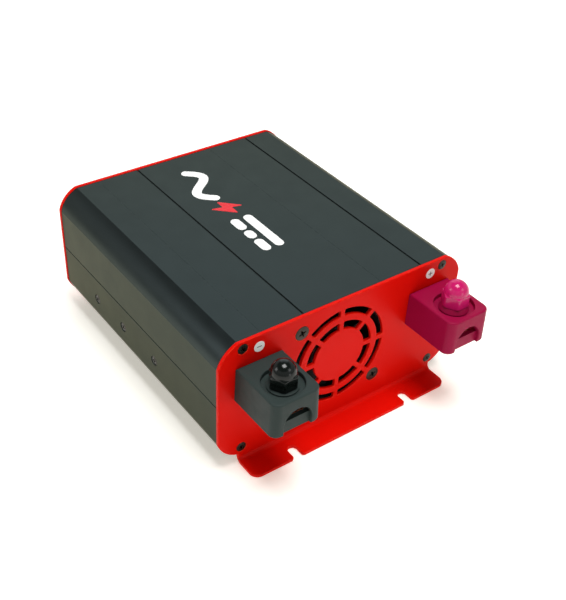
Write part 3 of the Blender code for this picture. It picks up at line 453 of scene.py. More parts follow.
def ring(radius, height, sides):
    """A level ring of points round Z, or one point where there is no radius."""
    if radius < 1e-6:
        return [(0, 0, height)]
    return [(x, y, height) for x, y in circle(radius, sides)]


def shaped_ring(radius_at, height, sides):
    """A level ring of points round Z whose radius follows from the angle."""
    angles = [tau * i / sides for i in range(sides)]
    return [(radius_at(a) * cos(a), radius_at(a) * sin(a), height) for a in angles]


def turned(profile, sides=48):
    """A solid of revolution about Z; the profile is (radius, height) points."""
    rings = [ring(radius, height, sides) for radius, height in profile]
    return loft(rings, ring_shut=len(rings[0]) > 1 and len(rings[-1]) > 1)


def plug(radius, low, high, sides=40):
    """A plain round solid about Z, to cut or join with."""
    return turned([(0, low), (radius, low), (radius, high), (0, high)], sides)


def rotation(angle, axis="Z"):
    return Matrix.Rotation(radians(angle), 4, axis)


def facing(place, direction, spin=0.0):
    """Matrix of a piece at a place whose own +Z looks in a direction, with its own +Y up."""
    turn = Vector(direction).to_track_quat("Z", "Y").to_matrix().to_4x4()
    return Matrix.Translation(place) @ turn @ rotation(spin)


def add_object(name, data):
    made = bpy.data.objects.new(name, data)
    bpy.context.scene.collection.objects.link(made)
    return made


def mesh_object(name, bm, matrix):
    """An object at the origin whose mesh holds the bmesh, given in millimetres."""
    bmesh.ops.recalc_face_normals(bm, faces=bm.faces)
    bmesh.ops.transform(bm, matrix=Matrix.Scale(MM, 4) @ matrix, verts=bm.verts)
    mesh = bpy.data.meshes.new(name)
    bm.to_mesh(mesh)
    bm.free()
    return add_object(name, mesh)


def combine(operation, target, bm, matrix):
    """Joins or cuts the target with a bmesh, and keeps only the result."""
    tool = mesh_object("tool", bm, matrix)
    step = target.modifiers.new("step", "BOOLEAN")
    step.operation = operation
    step.object = tool
    graph = bpy.context.evaluated_depsgraph_get()
    result = bpy.data.meshes.new_from_object(target.evaluated_get(graph))
    target.modifiers.clear()
    target.data = result
    bpy.data.objects.remove(tool)


cut = partial(combine, "DIFFERENCE")
join = partial(combine, "UNION")


def dress(made, look, body, nodes=(), sharp=SHARP_ANGLE):
    """Gives a finished piece smooth shading, its material and body, and hides the CAD nodes it stands for.
    """
    made.data.shade_smooth()
    made.data.set_sharp_from_angle(angle=radians(sharp))
    weighted = made.modifiers.new("weighted", "WEIGHTED_NORMAL")
    weighted.keep_sharp = True
    made.data.materials.clear()
    made.data.materials.append(material(look))
    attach(made, body)
    if nodes:
        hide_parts(*nodes)


def fine(node, made, look, sharp=SHARP_ANGLE):
    """Dresses the piece that stands for one CAD node."""
    dress(made, look, body_of(node), [node], sharp)


def add_extra(name, bm, matrix, look, body="case"):
    """A piece that no CAD node stands for."""
    dress(mesh_object(name, bm, matrix), look, body)


# ---- materials

def add_node(tree, kind, inputs, **settings):
    """A shader node; an input is given a value, or the socket that feeds it."""
    made = tree.nodes.new(kind)
    for key, value in settings.items():
        setattr(made, key, value)
    for key, value in inputs.items():
        socket = made.inputs[key]
        if isinstance(value, bpy.types.NodeSocket):
            tree.links.new(value, socket)
        else:
            socket.default_value = value
    return made


def new_material():
    """A material with its node tree and its shader's inputs."""
    made = bpy.data.materials.new("look")
    made.use_nodes = True
    return made, made.node_tree, made.node_tree.nodes["Principled BSDF"].inputs


def surface_noise(tree, size, detail=4.0, stretch=(1, 1, 1)):
    """Noise from 0 to 1 with patches of about size millimetres, drawn out along an axis by stretch."""
    place = add_node(tree, "ShaderNodeTexCoord", {})
    scale = tuple(1 / (size * MM * s) for s in stretch)
    mapped = add_node(tree, "ShaderNodeMapping", {"Vector": place.outputs["Object"], "Scale": scale})
    inputs = {"Vector": mapped.outputs[0], "Scale": 1.0, "Detail": detail}
    return add_node(tree, "ShaderNodeTexNoise", inputs).outputs[0]


def spread(tree, value, low, high, to_low, to_high):
    """A value's range moved to another range."""
    made = add_node(tree, "ShaderNodeMapRange", {
        "Value": value, "From Min": low, "From Max": high, "To Min": to_low, "To Max": to_high,
    })
    return made.outputs[0]


def mixed(tree, share, first, second):
    """Colour between first and second; either is a colour or a socket."""
    return add_node(tree, "ShaderNodeMix", {0: share, 6: first, 7: second}, data_type="RGBA").outputs[2]


def edge_mask(tree, width):
    """1 along convex and concave edges within width millimetres, 0 elsewhere."""
    soft = add_node(tree, "ShaderNodeBevel", {"Radius": width * MM}, samples=6)
    true = add_node(tree, "ShaderNodeNewGeometry", {})
    dot = add_node(tree, "ShaderNodeVectorMath", {
        0: soft.outputs[0], 1: true.outputs["Normal"],
    }, operation="DOT_PRODUCT")
    return spread(tree, dot.outputs["Value"], 0.995, 0.93, 0.0, 1.0)


def bumped(tree, inputs, height, depth):
    """Lets a height from 0 to 1 stand out by depth millimetres."""
    bump = add_node(tree, "ShaderNodeBump", {"Height": height, "Distance": depth * MM, "Strength": 1.0})
    tree.links.new(bump.outputs[0], inputs["Normal"])


def rgb(red, green, blue):
    """Linear colour of an sRGB colour given from 0 to 255."""
    def linear(value):
        value /= 255
        return value / 12.92 if value <= 0.04045 else ((value + 0.055) / 1.055) ** 2.4
    return (linear(red), linear(green), linear(blue), 1.0)


def scaled(colour, factor):
    return (*(min(1.0, channel * factor) for channel in colour[:3]), 1.0)


def finish(colour, roughness, mottle, grain, stretch=(1, 1, 1), metallic=0.0, wear_and_highlight=0.3, wear_and_highlight_colour=None,
           wear_and_highlight_width=0.35, specular=0.5, tint=(1, 1, 1)):
    """A material with mottled colour, uneven roughness, a fine grain and lighter edges that are partly wear
    and partly a painted highlight.

    Mottle is its patches' size and strength, grain its size and depth. The tint colours what a
    metal reflects at a grazing angle.
    """
    made, tree, inputs = new_material()
    patches = surface_noise(tree, mottle[0])
    base = mixed(tree, patches, scaled(colour, 1 - mottle[1]), scaled(colour, 1 + mottle[1]))
    # Lighter colour along the edges, broken up by flecks: partly wear, partly a painted highlight on the
    # edges, strongest on the end plates.
    fleck = surface_noise(tree, 2.5, 6.0)
    edges = add_node(tree, "ShaderNodeMath", {
        0: edge_mask(tree, wear_and_highlight_width), 1: spread(tree, fleck, 0.42, 0.6, 0.0, wear_and_highlight),
    }, operation="MULTIPLY")
    base = mixed(tree, edges.outputs[0], base, wear_and_highlight_colour or scaled(colour, 1.6))
    tree.links.new(base, inputs["Base Color"])
    rub = surface_noise(tree, mottle[0] / 3, 5.0)
    rubbed = spread(tree, rub, 0.3, 0.7, roughness * 0.88, roughness * 1.12)
    tree.links.new(rubbed, inputs["Roughness"])
    inputs["Metallic"].default_value = metallic
    inputs["Specular IOR Level"].default_value = specular
    inputs["Specular Tint"].default_value = (*tint, 1.0)
    bumped(tree, inputs, surface_noise(tree, grain[0], 3.0, stretch), grain[1])
    return made


def anodised(colour, wear_and_highlight_colour):
    """Dark anodised aluminium with the die lines of its extrusion along Y."""
    return finish(colour, 0.32, (40.0, 0.05), (0.5, 0.003), (1, 60, 1), 0.88, 0.35, wear_and_highlight_colour, tint=GREY_TINT)


def cover_grey():
    return anodised(rgb(55, 63, 64), rgb(104, 110, 108))


def tray_grey():
    return anodised(rgb(54, 61, 60), rgb(104, 108, 102))


def plate_red():
    """Semi-gloss powder coat with a slight orange peel, and a painted orange highlight along its edges."""
    return finish(rgb(210, 13, 4), 0.36, (60.0, 0.04), (0.7, 0.01),
                  wear_and_highlight=0.9, wear_and_highlight_colour=rgb(250, 92, 56), wear_and_highlight_width=0.5, specular=0.05)


def screw_black():
    return finish(rgb(44, 40, 34), 0.36, (3.0, 0.2), (0.3, 0.006),
                  metallic=0.7, wear_and_highlight=0.6, wear_and_highlight_colour=rgb(120, 108, 88), wear_and_highlight_width=0.2)


def fan_black():
    return finish(rgb(22, 22, 23), 0.45, (12.0, 0.12), (0.5, 0.01))


def terminal_black():
    return finish(rgb(46, 56, 54), 0.5, (14.0, 0.06), (0.4, 0.014),
                  wear_and_highlight=0.4, wear_and_highlight_colour=rgb(78, 84, 82), specular=0.12)


def terminal_magenta():
    return finish(rgb(146, 8, 58), 0.46, (14.0, 0.05), (0.4, 0.012),
                  wear_and_highlight=0.4, wear_and_highlight_colour=rgb(190, 44, 104), specular=0.1)


def nut_black():
    return finish(rgb(12, 17, 15), 0.14, (8.0, 0.1), (0.8, 0.003), wear_and_highlight=0.2, specular=0.3)


def nut_magenta():
    return finish(rgb(190, 24, 96), 0.14, (8.0, 0.05), (0.8, 0.003), wear_and_highlight=0.2, specular=0.4)


def copper():
    return finish(rgb(200, 124, 86), 0.3, (5.0, 0.18), (0.3, 0.006), (1, 20, 1), 1.0)


def brass():
    return finish(rgb(206, 170, 96), 0.26, (4.0, 0.12), (0.3, 0.004), metallic=1.0)


def steel():
    return finish(rgb(176, 178, 178), 0.3, (4.0, 0.1), (0.25, 0.004), metallic=1.0)


def board_green():
    """Solder mask over fine tracks."""
    made, tree, inputs = new_material()
    place = add_node(tree, "ShaderNodeTexCoord", {})
    cells = add_node(tree, "ShaderNodeTexVoronoi", {"Vector": place.outputs["Object"], "Scale": 160.0},
                     feature="DISTANCE_TO_EDGE")
    tracks = spread(tree, cells.outputs[0], 0.06, 0.09, 1.0, 0.0)
    patches = surface_noise(tree, 25.0)
    mask = mixed(tree, patches, rgb(14, 78, 44), rgb(20, 98, 56))
    tree.links.new(mixed(tree, tracks, mask, rgb(40, 130, 80)), inputs["Base Color"])
    tree.links.new(spread(tree, patches, 0.3, 0.7, 0.3, 0.42), inputs["Roughness"])
    bumped(tree, inputs, tracks, 0.03)
    return made


def ferrite():
    return finish(rgb(46, 46, 50), 0.6, (4.0, 0.15), (0.3, 0.03), metallic=0.1, wear_and_highlight_colour=rgb(96, 96, 100))


def winding_yellow():
    """Insulating tape over close turns of wire."""
    return finish(rgb(206, 168, 52), 0.38, (6.0, 0.12), (0.8, 0.06), (30, 30, 1))


def capacitor_sleeve():
    return finish(rgb(28, 36, 66), 0.3, (16.0, 0.08), (1.5, 0.02))


def fuse_yellow():
    return finish(rgb(214, 168, 30), 0.4, (6.0, 0.06), (0.6, 0.01))


def package_black():
    return finish(rgb(34, 34, 36), 0.5, (4.0, 0.1), (0.25, 0.015))


def aluminium():
    return finish(rgb(176, 178, 182), 0.38, (12.0, 0.06), (0.3, 0.008), (1, 50, 1), 1.0)


def socket_black():
    return finish(rgb(30, 31, 32), 0.4, (10.0, 0.08), (0.5, 0.012), wear_and_highlight_colour=rgb(70, 72, 74))


def light_green():
    made = finish(rgb(70, 170, 80), 0.14, (3.0, 0.08), (1.0, 0.002))
    made.node_tree.nodes["Principled BSDF"].inputs["Transmission Weight"].default_value = 0.35
    return made


def print_white():
    return finish(rgb(240, 240, 237), 0.5, (8.0, 0.02), (0.4, 0.006), wear_and_highlight=0.15)


def print_red():
    return finish(rgb(214, 20, 32), 0.5, (8.0, 0.04), (0.4, 0.006), wear_and_highlight=0.15)


def ink_dark():
    return finish(rgb(52, 46, 46), 0.55, (3.0, 0.1), (0.3, 0.006))


def floor_pale():
    """Pale and slightly lit from within, so that it reads as white paper."""
    made = finish(rgb(250, 249, 245), 0.6, (400.0, 0.01), (5.0, 0.002), wear_and_highlight=0.0)
    shader = made.node_tree.nodes["Principled BSDF"]
    shader.inputs["Emission Color"].default_value = (*FLOOR_GLOW, 1.0)
    shader.inputs["Emission Strength"].default_value = GLOW_STRENGTH
    return made


@cache
def material(look):
    """The material that a look makes, made once and named after it."""
    made = look()
    made.name = look.__name__
    return made


# ---- case

def corner_path(inset):
    """The case section's upper right corner, from the side to the top."""
    flat = COVER_HIGH.x - FLAT_INSET - inset * 0.3
    side_top = COVER_HIGH.z - CORNER_DROP - inset * 0.3
    start, end = (COVER_HIGH.x - inset, side_top), (flat, COVER_HIGH.z - inset)
    return bulged(start, end, CORNER_BULGE, CORNER_STEPS)


def upper_path(inset):
    """The case section above the parting line, from its right side over the top to its left side."""
    right = corner_path(inset)
    return right + mirrored(right)


def turned_over(points):
    """The points turned half round the middle of the case section."""
    return [(-x, 2 * SECTION_MIDDLE - z) for x, z in points]


def detour(path, centre, radius, steps=12):
    """The open path, led round the inner side of a circle that it runs through."""
    hub = Vector(centre)
    hits = []
    for i, (a, b) in enumerate(zip(path, path[1:])):
        near = [(Vector(p) - hub).length < radius for p in (a, b)]
        if near[0] != near[1]:
            crossing = intersect_line_sphere_2d(Vector(a), Vector(b), hub, radius)
            hits.append((i, [p for p in crossing if p is not None][0]))
    (first, enter), (last, leave) = hits
    start = bearing(enter - hub)
    swing = (bearing(leave - hub) - start) % 360
    home = Vector((0, SECTION_MIDDLE))
    ways = [arc(centre, radius, start, start + turn, steps) for turn in (swing, swing - 360)]
    inner = min(ways, key=lambda way: (Vector(way[steps // 2]) - home).length)
    return path[:first + 1] + inner + path[last + 1:]


def parting_corner(corner, before, after):
    """A rounded corner at the parting line, between the ways to the points before and after it."""
    path = [Vector(corner) + Vector(way) for way in (before, (0, 0), after)]
    return rounded_path(path, PARTING_LIP, 8)[1:-1]


def groove_path():
    """The grooves along the top of the case, right to left, with soft lips."""
    points = []
    for x, width, depth in GROOVES:
        right, left = x + width / 2, x - width / 2
        floor = COVER_HIGH.z - depth
        sides = [(right, COVER_HIGH.z), (right, floor), (left, floor), (left, COVER_HIGH.z)]
        flat = [(right + 1, COVER_HIGH.z)] + sides + [(left - 1, COVER_HIGH.z)]
        lip = GROOVE_LIP if depth > 2 * GROOVE_LIP else 0.0
        points += rounded_path(flat, lip, 2)[1:-1]
    return points


def add_shell(name, level, outer, inner, look, side=(), seats=()):
    """Half of the case extrusion, with screw channels and the seats of the side screws.

    Side is the outline of what stands on the right wall's inside, from the floor up.
    """
    holes = []
    for corner in ("right", "left"):
        x, _, z = middle(f"front_plate_screw_{level}_{corner}")
        inner = detour(inner, (x, z), PORT_RADIUS)
        holes.append(circle(THREAD_RADIUS, 20, (x, z)))
    outline = outer + list(side[::-1]) + inner[::-1] + mirrored(side[::-1])
    low, high = span(name)
    solid = prism([outline] + holes, low.y, high.y, SHELL_EDGE, steps=2)
    made = mesh_object(f"{name}_shell", solid, Matrix.Identity(4))
    for node in seats:
        cut_seat(made, node, (-1 if span(node)[0].x < 0 else 1, 0, 0), WALL * 2)
    fine(name, made, look, SHELL_SHARP)


def add_top_cover():
    right = corner_path(0.0)
    side, low = COVER_HIGH.x, COVER_LOW.z
    parting = parting_corner((side, low), (-1, 0), (0, 1))
    outer = parting + right + groove_path() + mirrored(right) + mirrored(parting)
    inner = [(side - WALL, low)] + upper_path(WALL) + [(-side + WALL, low)]
    add_shell("top_cover", "upper", outer, inner, cover_grey)


def tray_side():
    """Inside of the tray's right wall from the floor corner up: board rails, then the inner lip."""
    wall = COVER_HIGH.x - WALL
    rail = wall - RAIL_REACH
    board_low, board_high = span("circuit_board")
    low, high = board_low.z - GAP, board_high.z + GAP
    points = []
    for z0, z1 in ((low - RAIL_THICKNESS, low), (high, high + RAIL_THICKNESS)):
        points += rounded_path([(wall, z0), (rail, z0), (rail, z1), (wall, z1)], 0.3, 2)
    parting = TRAY_HIGH.z - LIP_REACH - GAP / 2
    lip_out = wall - GAP
    lip_in = lip_out - LIP_THICKNESS
    points += [(wall, parting - LIP_REACH), (lip_in, parting - LIP_REACH + 1)]
    points += [(lip_in, TRAY_HIGH.z - LIP_EDGE), (lip_in + 0.3, TRAY_HIGH.z)]
    points += [(lip_out - 0.3, TRAY_HIGH.z), (lip_out, TRAY_HIGH.z - LIP_EDGE), (lip_out, parting)]
    return points, parting


def add_base_tray():
    side, parting = tray_side()
    corner = parting_corner((COVER_HIGH.x, parting), (0, -1), (-1, 0))
    outer = mirrored(corner) + turned_over(upper_path(0.0)) + corner
    inner = turned_over(upper_path(WALL))
    add_shell("base_tray", "lower", outer, inner, tray_grey, side, SIDE_SCREWS)


# ---- screws

def screw_frame(node, direction):
    """Where a screw's head rim lies, and its head radius, head height, shank radius and length."""
    low, high = span(node)
    way = Vector(direction)
    length = abs((high - low).dot(way)) - HEAD_CROWN
    radius = (high.z - low.z) / 2
    rim = Vector(middle(node)) + way * (length / 2 - HEAD_CROWN / 2)
    return rim, radius, radius * HEAD_SHARE, radius * SHANK_SHARE, length


def cut_seat(target, node, direction, depth):
    """Cuts a screw's countersunk seat."""
    rim, radius, height, shank, _ = screw_frame(node, direction)
    wide, narrow = radius + SEAT_GAP, shank + SEAT_GAP
    profile = [(0, -depth), (narrow, -depth), (narrow, -height - SEAT_STEP), (wide, -SEAT_STEP)]
    profile += arc((wide + 0.25, -SEAT_STEP), 0.25, 180, 90, 3) + [(wide + 0.25, 2), (0, 2)]
    cut(target, turned(profile, 40), facing(rim, direction))


def cross_outline(wing, half):
    """A cross with rounded wing ends."""
    points = []
    for quarter in range(4):
        spin = Matrix.Rotation(radians(90 * quarter), 2)
        points += [tuple(spin @ Vector(p)) for p in ((half, half), (half, wing), (-half, wing))]
    return fillet(points, [half * 0.3, half * 0.8, half * 0.8] * 4, 2)


def cross_cutter(*levels):
    """A tapered cross recess through (wing, half width, height) levels, from its floor up."""
    return loft([[(x, y, height) for x, y in cross_outline(wing, half)] for wing, half, height in levels])


def threaded_rings(radius, depth, pitch, low, high, sides, samples=6):
    """Rings of a rolled thread between two heights, fading out at both ends."""
    rings = []
    count = max(2, round((high - low) / pitch * samples))
    for step in range(count + 1):
        z = low + (high - low) * step / count
        cut_in = depth * min(1.0, (z - low) / pitch, (high - z) / pitch)
        turn = tau * z / pitch
        rings.append(shaped_ring(lambda a: radius - cut_in * (0.5 + 0.5 * cos(turn - a)), z, sides))
    return rings


def add_screw(node, direction, cross_angle):
    """A countersunk screw with a tapered cross recess and a rolled thread."""
    rim, radius, height, shank, length = screw_frame(node, direction)
    crown = (radius * 0.6, HEAD_CROWN * 0.75)
    head = rounded_path([(shank, -height), (radius, -0.3), (radius, 0), crown, (0, HEAD_CROWN)],
                        [0, 0.1, 0.12, 1.2, 0], 3)
    rings = [ring(0, -length, SCREW_SIDES)]
    rings += threaded_rings(shank, SCREW_THREAD, SCREW_PITCH, -length, -height - 0.2, SCREW_SIDES)
    rings += [ring(r, z, SCREW_SIDES) for r, z in head]
    matrix = facing(rim, direction, cross_angle)
    made = mesh_object(f"{node}_fine", loft(rings), matrix)
    wide, narrow = ([radius * share for share in cross] for cross in (CROSS_WIDE, CROSS_NARROW))
    cutter = cross_cutter((*narrow, -height * 1.05), (*wide, HEAD_CROWN * 0.3), (*wide, 1.0))
    cut(made, cutter, matrix)
    fine(node, made, screw_black)


def add_screws():
    for node in FRONT_SCREWS:
        add_screw(node, FRONT, CROSS_ANGLE)
    for node in REAR_SCREWS:
        add_screw(node, BACK, CROSS_ANGLE)
    for node in SIDE_SCREWS:
        side = -1 if "left" in node else 1
        add_screw(node, (side, 0, 0), SIDE_CROSS_STEP * int(node[-1]))


# ---- end plates

def slot_points(x, edge):
    """An open-ended fixing slot in the foot's edge, left to right."""
    half, mouth = SLOT_WIDTH / 2, SLOT_MOUTH
    points = arc((x - half - mouth, edge + mouth), mouth, 270, 360, 5)
    points += arc((x, edge + SLOT_DEPTH - half), half, 180, 0, 16)
    points += arc((x + half + mouth, edge + mouth), mouth, 180, 270, 5)
    return points


def blank_outline():
    """Flat blank of an end plate: the case section, grown a little, with the unfolded foot below it."""
    upper = upper_path(-PLATE_MARGIN)
    plate = upper + turned_over(upper)
    lowest = min(z for x, z in plate)
    right_up = sorted((p for p in plate if p[0] > 0 and p[1] > lowest + GAP), key=lambda p: p[1])
    neutral = BEND_RADIUS + PLATE_THICKNESS / 2
    edge = PLATE_THICKNESS + BEND_RADIUS - neutral * pi / 2 - (FOOT_REACH - BEND_RADIUS)
    corner = FOOT_HALF - FOOT_CORNER
    foot = [(-FOOT_HALF, lowest)] + arc((-corner, edge + FOOT_CORNER), FOOT_CORNER, 180, 270, 10)
    for x in (-SLOT_X, SLOT_X):
        foot += slot_points(x, edge)
    foot += arc((corner, edge + FOOT_CORNER), FOOT_CORNER, 270, 360, 10) + [(FOOT_HALF, lowest)]
    return right_up + mirrored(right_up) + foot


def bend_foot(bm):
    """Rolls the lower end of the flat blank forwards (-Y) into the foot."""
    neutral = BEND_RADIUS + PLATE_THICKNESS / 2
    bend_top = PLATE_THICKNESS + BEND_RADIUS
    length = neutral * pi / 2
    for step in range(BEND_STEPS + 1):
        height = bend_top - length * step / BEND_STEPS
        geometry = bm.verts[:] + bm.edges[:] + bm.faces[:]
        bmesh.ops.bisect_plane(bm, geom=geometry, plane_co=(0, 0, height), plane_no=(0, 0, 1))
    for vert in bm.verts:
        drop = bend_top - vert.co.z
        if drop <= 0:
            continue
        turn = min(drop / neutral, pi / 2)
        radius = BEND_RADIUS + vert.co.y
        straight = max(drop - length, 0)
        vert.co.y = -BEND_RADIUS + radius * cos(turn) - straight
        vert.co.z = bend_top - radius * sin(turn)


def add_plate(name, holes, place, direction, screws):
    """An end plate: a holed sheet with its foot bent, and a countersunk seat for each screw."""
    bm = prism([blank_outline()] + holes, 0.0, PLATE_THICKNESS, PLATE_EDGE)
    bend_foot(bm)
    made = mesh_object(f"{name}_sheet", bm, place)
    for node in screws:
        cut_seat(made, node, direction, SEAT_DEPTH)
    fine(name, made, plate_red)


def grille_slots():
    """Two rings of curved slots with a solid disc in the middle."""
    loops = []
    centre = (FAN_CENTRE.x, FAN_CENTRE.z)
    for inner, outer in GRILLE_RINGS:
        cut_in, cut_out = (degrees(asin(SPOKE_WIDTH / 2 / radius)) for radius in (inner, outer))
        for slot in range(GRILLE_SPOKES):
            start, end = slot * 360 / GRILLE_SPOKES, (slot + 1) * 360 / GRILLE_SPOKES
            loop = arc(centre, outer, start + cut_out, end - cut_out, GRILLE_STEPS)
            loop += arc(centre, inner, end - cut_in, start + cut_in, GRILLE_STEPS)
            side = [GRILLE_FILLET] + [0] * (GRILLE_STEPS - 1) + [GRILLE_FILLET]
            loops.append(fillet(loop, side * 2, 3))
    return loops


def neck_hole(pole):
    """The opening in the front plate for a terminal's neck, from its bus bar."""
    low, high = span(f"bus_bar_{pole}")
    margin = COVER_WALL + GAP
    return rectangle(low.x - margin, high.x + margin, high.z - BAR_THICKNESS - margin, high.z + margin)


def on_front(x, z):
    """Places a shape drawn on the XZ plane on the front plate's outer face."""
    return Matrix.Translation((x, FRONT_Y, z))


def add_front_plate():
    holes = grille_slots() + [neck_hole("negative"), neck_hole("positive")]
    add_plate("front_plate", holes, on_front(0, 0), FRONT, FRONT_SCREWS)


def seen_from_behind(node):
    """A node's middle as the rear plate's own drawing has it."""
    x, _, z = middle(node)
    return -x, z


def add_rear_plate():
    holes = [circle(SOCKET_HOLE_RADIUS, 64, seen_from_behind("ac_socket"))]
    for node, margin in (("switch_body", -SWITCH_OVERLAP), ("remote_port", GAP)):
        low, high = span(node)
        holes.append(rectangle(-high.x - margin, -low.x + margin, low.z - margin, high.z + margin))
    holes.append(circle(LIGHT_HOLE_RADIUS, 24, seen_from_behind("status_light")))
    radius = VENT_WIDTH / 2
    for x in VENT_X:
        top = arc((x, VENT_Z[1] - radius), radius, 0, 180, 10)
        holes.append(top + arc((x, VENT_Z[0] + radius), radius, 180, 360, 10))
    place = Matrix.Translation((0, REAR_Y, 0)) @ rotation(180)
    add_plate("rear_plate", holes, place, BACK, REAR_SCREWS)


# ---- battery terminals

def stud_axis(pole):
    """Matrix that moves a piece drawn round Z onto a pole's stud."""
    x, y, _ = middle(f"terminal_stud_{pole}")
    return Matrix.Translation((x, y, 0))


def drafted_block(low, high, front, half):
    """A terminal cover's body: drafted sides, rounded top and bottom edges, two round outer corners."""
    rings = []
    for height, inset in layers(low, high, COVER_EDGE, 4):
        wide = half + COVER_DRAFT * (high - height) / (high - low)
        corner_x, corner_y = wide - COVER_CORNER, front + COVER_CORNER
        plan = [(wide, -GAP), (-wide, -GAP)] + arc((-corner_x, corner_y), COVER_CORNER, 180, 270, 10)
        plan += arc((corner_x, corner_y), COVER_CORNER, 270, 360, 10)
        rings.append([(x, y, height) for x, y in offset(plan, inset)])
    return loft(rings)


def arch_outline(top, bottom):
    spring = top - ARCH_RADIUS
    return arc((0, spring), ARCH_RADIUS, 0, 180, 24) + [(-ARCH_RADIUS, bottom), (ARCH_RADIUS, bottom)]


def add_terminal_cover(pole, look):
    """Moulded cover: lug chamber open below, cable arch in front, round nut recess on top."""
    name = f"terminal_cover_{pole}"
    low, high = span(name)
    bar_low, bar_high = span(f"bus_bar_{pole}")
    front = low.y - FRONT_Y
    half = (high.x - low.x) / 2 - COVER_DRAFT
    axis = stud_axis(pole)
    place = on_front(axis.translation.x, 0)
    made = mesh_object(f"{name}_moulding", drafted_block(low.z, high.z, front, half), place)
    chamber_top = high.z - RECESS_DEPTH - RECESS_FLOOR
    panel_back = front + PANEL_SETBACK + COVER_WALL
    inner = half - COVER_WALL
    cut(made, box((-inner, panel_back, low.z - 1), (inner, -COVER_WALL, chamber_top), CHAMBER_EDGE), place)
    cut(made, flared_cutter(circle(RECESS_RADIUS, 72), high.z, high.z - RECESS_DEPTH, SOFT_EDGE, "Z"), axis)
    cut(made, plug(PASSAGE_RADIUS, chamber_top - 1, high.z), axis)
    arch_top, panel_top = high.z - ARCH_DROP, high.z - PANEL_DROP
    arch = arch_outline(arch_top, low.z - 1)
    cut(made, flared_cutter(arch, front, front + PANEL_SETBACK, SOFT_EDGE), place)
    mouth = [p for p in arch_outline(arch_top, panel_top) if p[1] >= panel_top]
    cut(made, prism([mouth], front + PANEL_SETBACK - 1, panel_back + 1), place)
    bar_half, bar_under = (bar_high.x - bar_low.x) / 2, bar_high.z - BAR_THICKNESS
    neck_half, slot_half = bar_half + COVER_WALL, bar_half + GAP
    end, top = PLATE_THICKNESS + NECK_REACH, bar_high.z
    join(made, box((-neck_half, -1, bar_under - NECK_CAP), (neck_half, end, top + NECK_CAP)), place)
    cut(made, box((-slot_half, -COVER_WALL - 1, bar_under - GAP), (slot_half, end + 2, top + GAP)), place)
    fine(name, made, look)


def add_bus_bar(pole):
    """Copper bar with rounded edges, from the stud, through the front plate, down to the board."""
    name = f"bus_bar_{pole}"
    low, high = span(name)
    inner_top = high.z - BAR_STEP
    seat_end = FRONT_Y - COVER_WALL - BAR_END_GAP
    under, front = high.z - BAR_THICKNESS, high.y - BAR_THICKNESS
    profile = [(low.y, high.z), (low.y, under), (front, under), (front, low.z)]
    profile += [(high.y, low.z), (high.y, inner_top), (seat_end, inner_top), (seat_end, high.z)]
    soft = fillet(profile, [0.4, 0.4, 1.0, 0.4, 0.4, 4.0, 0.2, 0.25], 6)
    bar = prism([soft], low.x, high.x, 0.15, "X", 2)
    made = mesh_object(f"{name}_fine", bar, Matrix.Identity(4))
    cut(made, plug(BORE_RADIUS, high.z - 5, high.z + 1), stud_axis(pole))
    fine(name, made, copper)


def add_round_piece(name, pole, bm, look):
    """A piece that stands round a pole's stud."""
    fine(name, mesh_object(f"{name}_fine", bm, stud_axis(pole)), look)


def add_stud(pole):
    """Threaded stud with its head under the bus bar."""
    name = f"terminal_stud_{pole}"
    low, high = span(name)
    wide, shoulder = STUD_HEAD[0], low.z + STUD_HEAD[1]
    head = rounded_path([(0, low.z), (wide, low.z), (wide, shoulder), (STUD_RADIUS, shoulder)],
                        [0, 0.4, 0.4, 0], 3)
    rings = [ring(r, z, 48) for r, z in head]
    start, end = shoulder + 0.2, high.z - STUD_POINT
    rings += threaded_rings(STUD_RADIUS, THREAD_DEPTH, THREAD_PITCH, start, end, 48, 10)
    rings += [ring(r, high.z, 48) for r in (STUD_RADIUS - STUD_POINT, 0)]
    add_round_piece(name, pole, loft(rings), steel)


def add_washer(pole, look):
    """Captive washer, thin at its rim and full height only under the nut."""
    name = f"terminal_washer_{pole}"
    low, high = span(name)
    inner, outer, under_nut = INSERT_RADIUS + GAP, (high.x - low.x) / 2, NUT_ACROSS_FLATS / 2
    profile = [(inner, low.z), (outer, low.z), (outer, low.z + WASHER_RIM)]
    profile += [(under_nut, high.z), (inner, high.z)]
    add_round_piece(name, pole, turned(fillet(profile, [0.2, 0.2, 0.2, 0.3, 0.1]), 72), look)


def add_insert(pole):
    """Knurled brass sleeve."""
    name = f"nut_insert_{pole}"
    low, high = span(name)
    sides = KNURL_RIDGES * 2
    rings = [ring(radius, low.z, sides) for radius in (BORE_RADIUS, INSERT_RADIUS - INSERT_EDGE)]
    plain, knurled = (low.z + INSERT_EDGE, low.z + 3.0, high.z - 1.0, high.z), (low.z + 3.2, high.z - 1.2)
    for z in sorted(plain + knurled):
        half = KNURL_DEPTH / 2 if z in knurled else 0.0
        rings.append(shaped_ring(lambda a: INSERT_RADIUS - half * (1 - cos(KNURL_RIDGES * a)), z, sides))
    rings.append(ring(BORE_RADIUS, high.z, sides))
    add_round_piece(name, pole, loft(rings, ring_shut=True), brass)


def soft_min(a, b, blend):
    """The smaller of two lengths, with the crossing rounded over."""
    share = max(0.0, min(1.0, 0.5 + 0.5 * (b - a) / blend))
    return b + (a - b) * share - blend * share * (1 - share)


def nut_radius(angle, height):
    """Radius of the hexagonal part, with soft corners and a chamfered crown and foot."""
    flat = NUT_ACROSS_FLATS / 2
    to_flat = (angle % (pi / 3)) - pi / 6
    hexagon = soft_min(flat / cos(to_flat), flat * 1.125, 0.25)
    crown = NUT_DOME_RADIUS + (NUT_HEX_HEIGHT - height) * 1.3
    foot = flat * 1.06 + height * 1.4
    radius = soft_min(soft_min(hexagon, crown, 0.35), foot, 0.2)
    return max(radius, NUT_DOME_RADIUS)


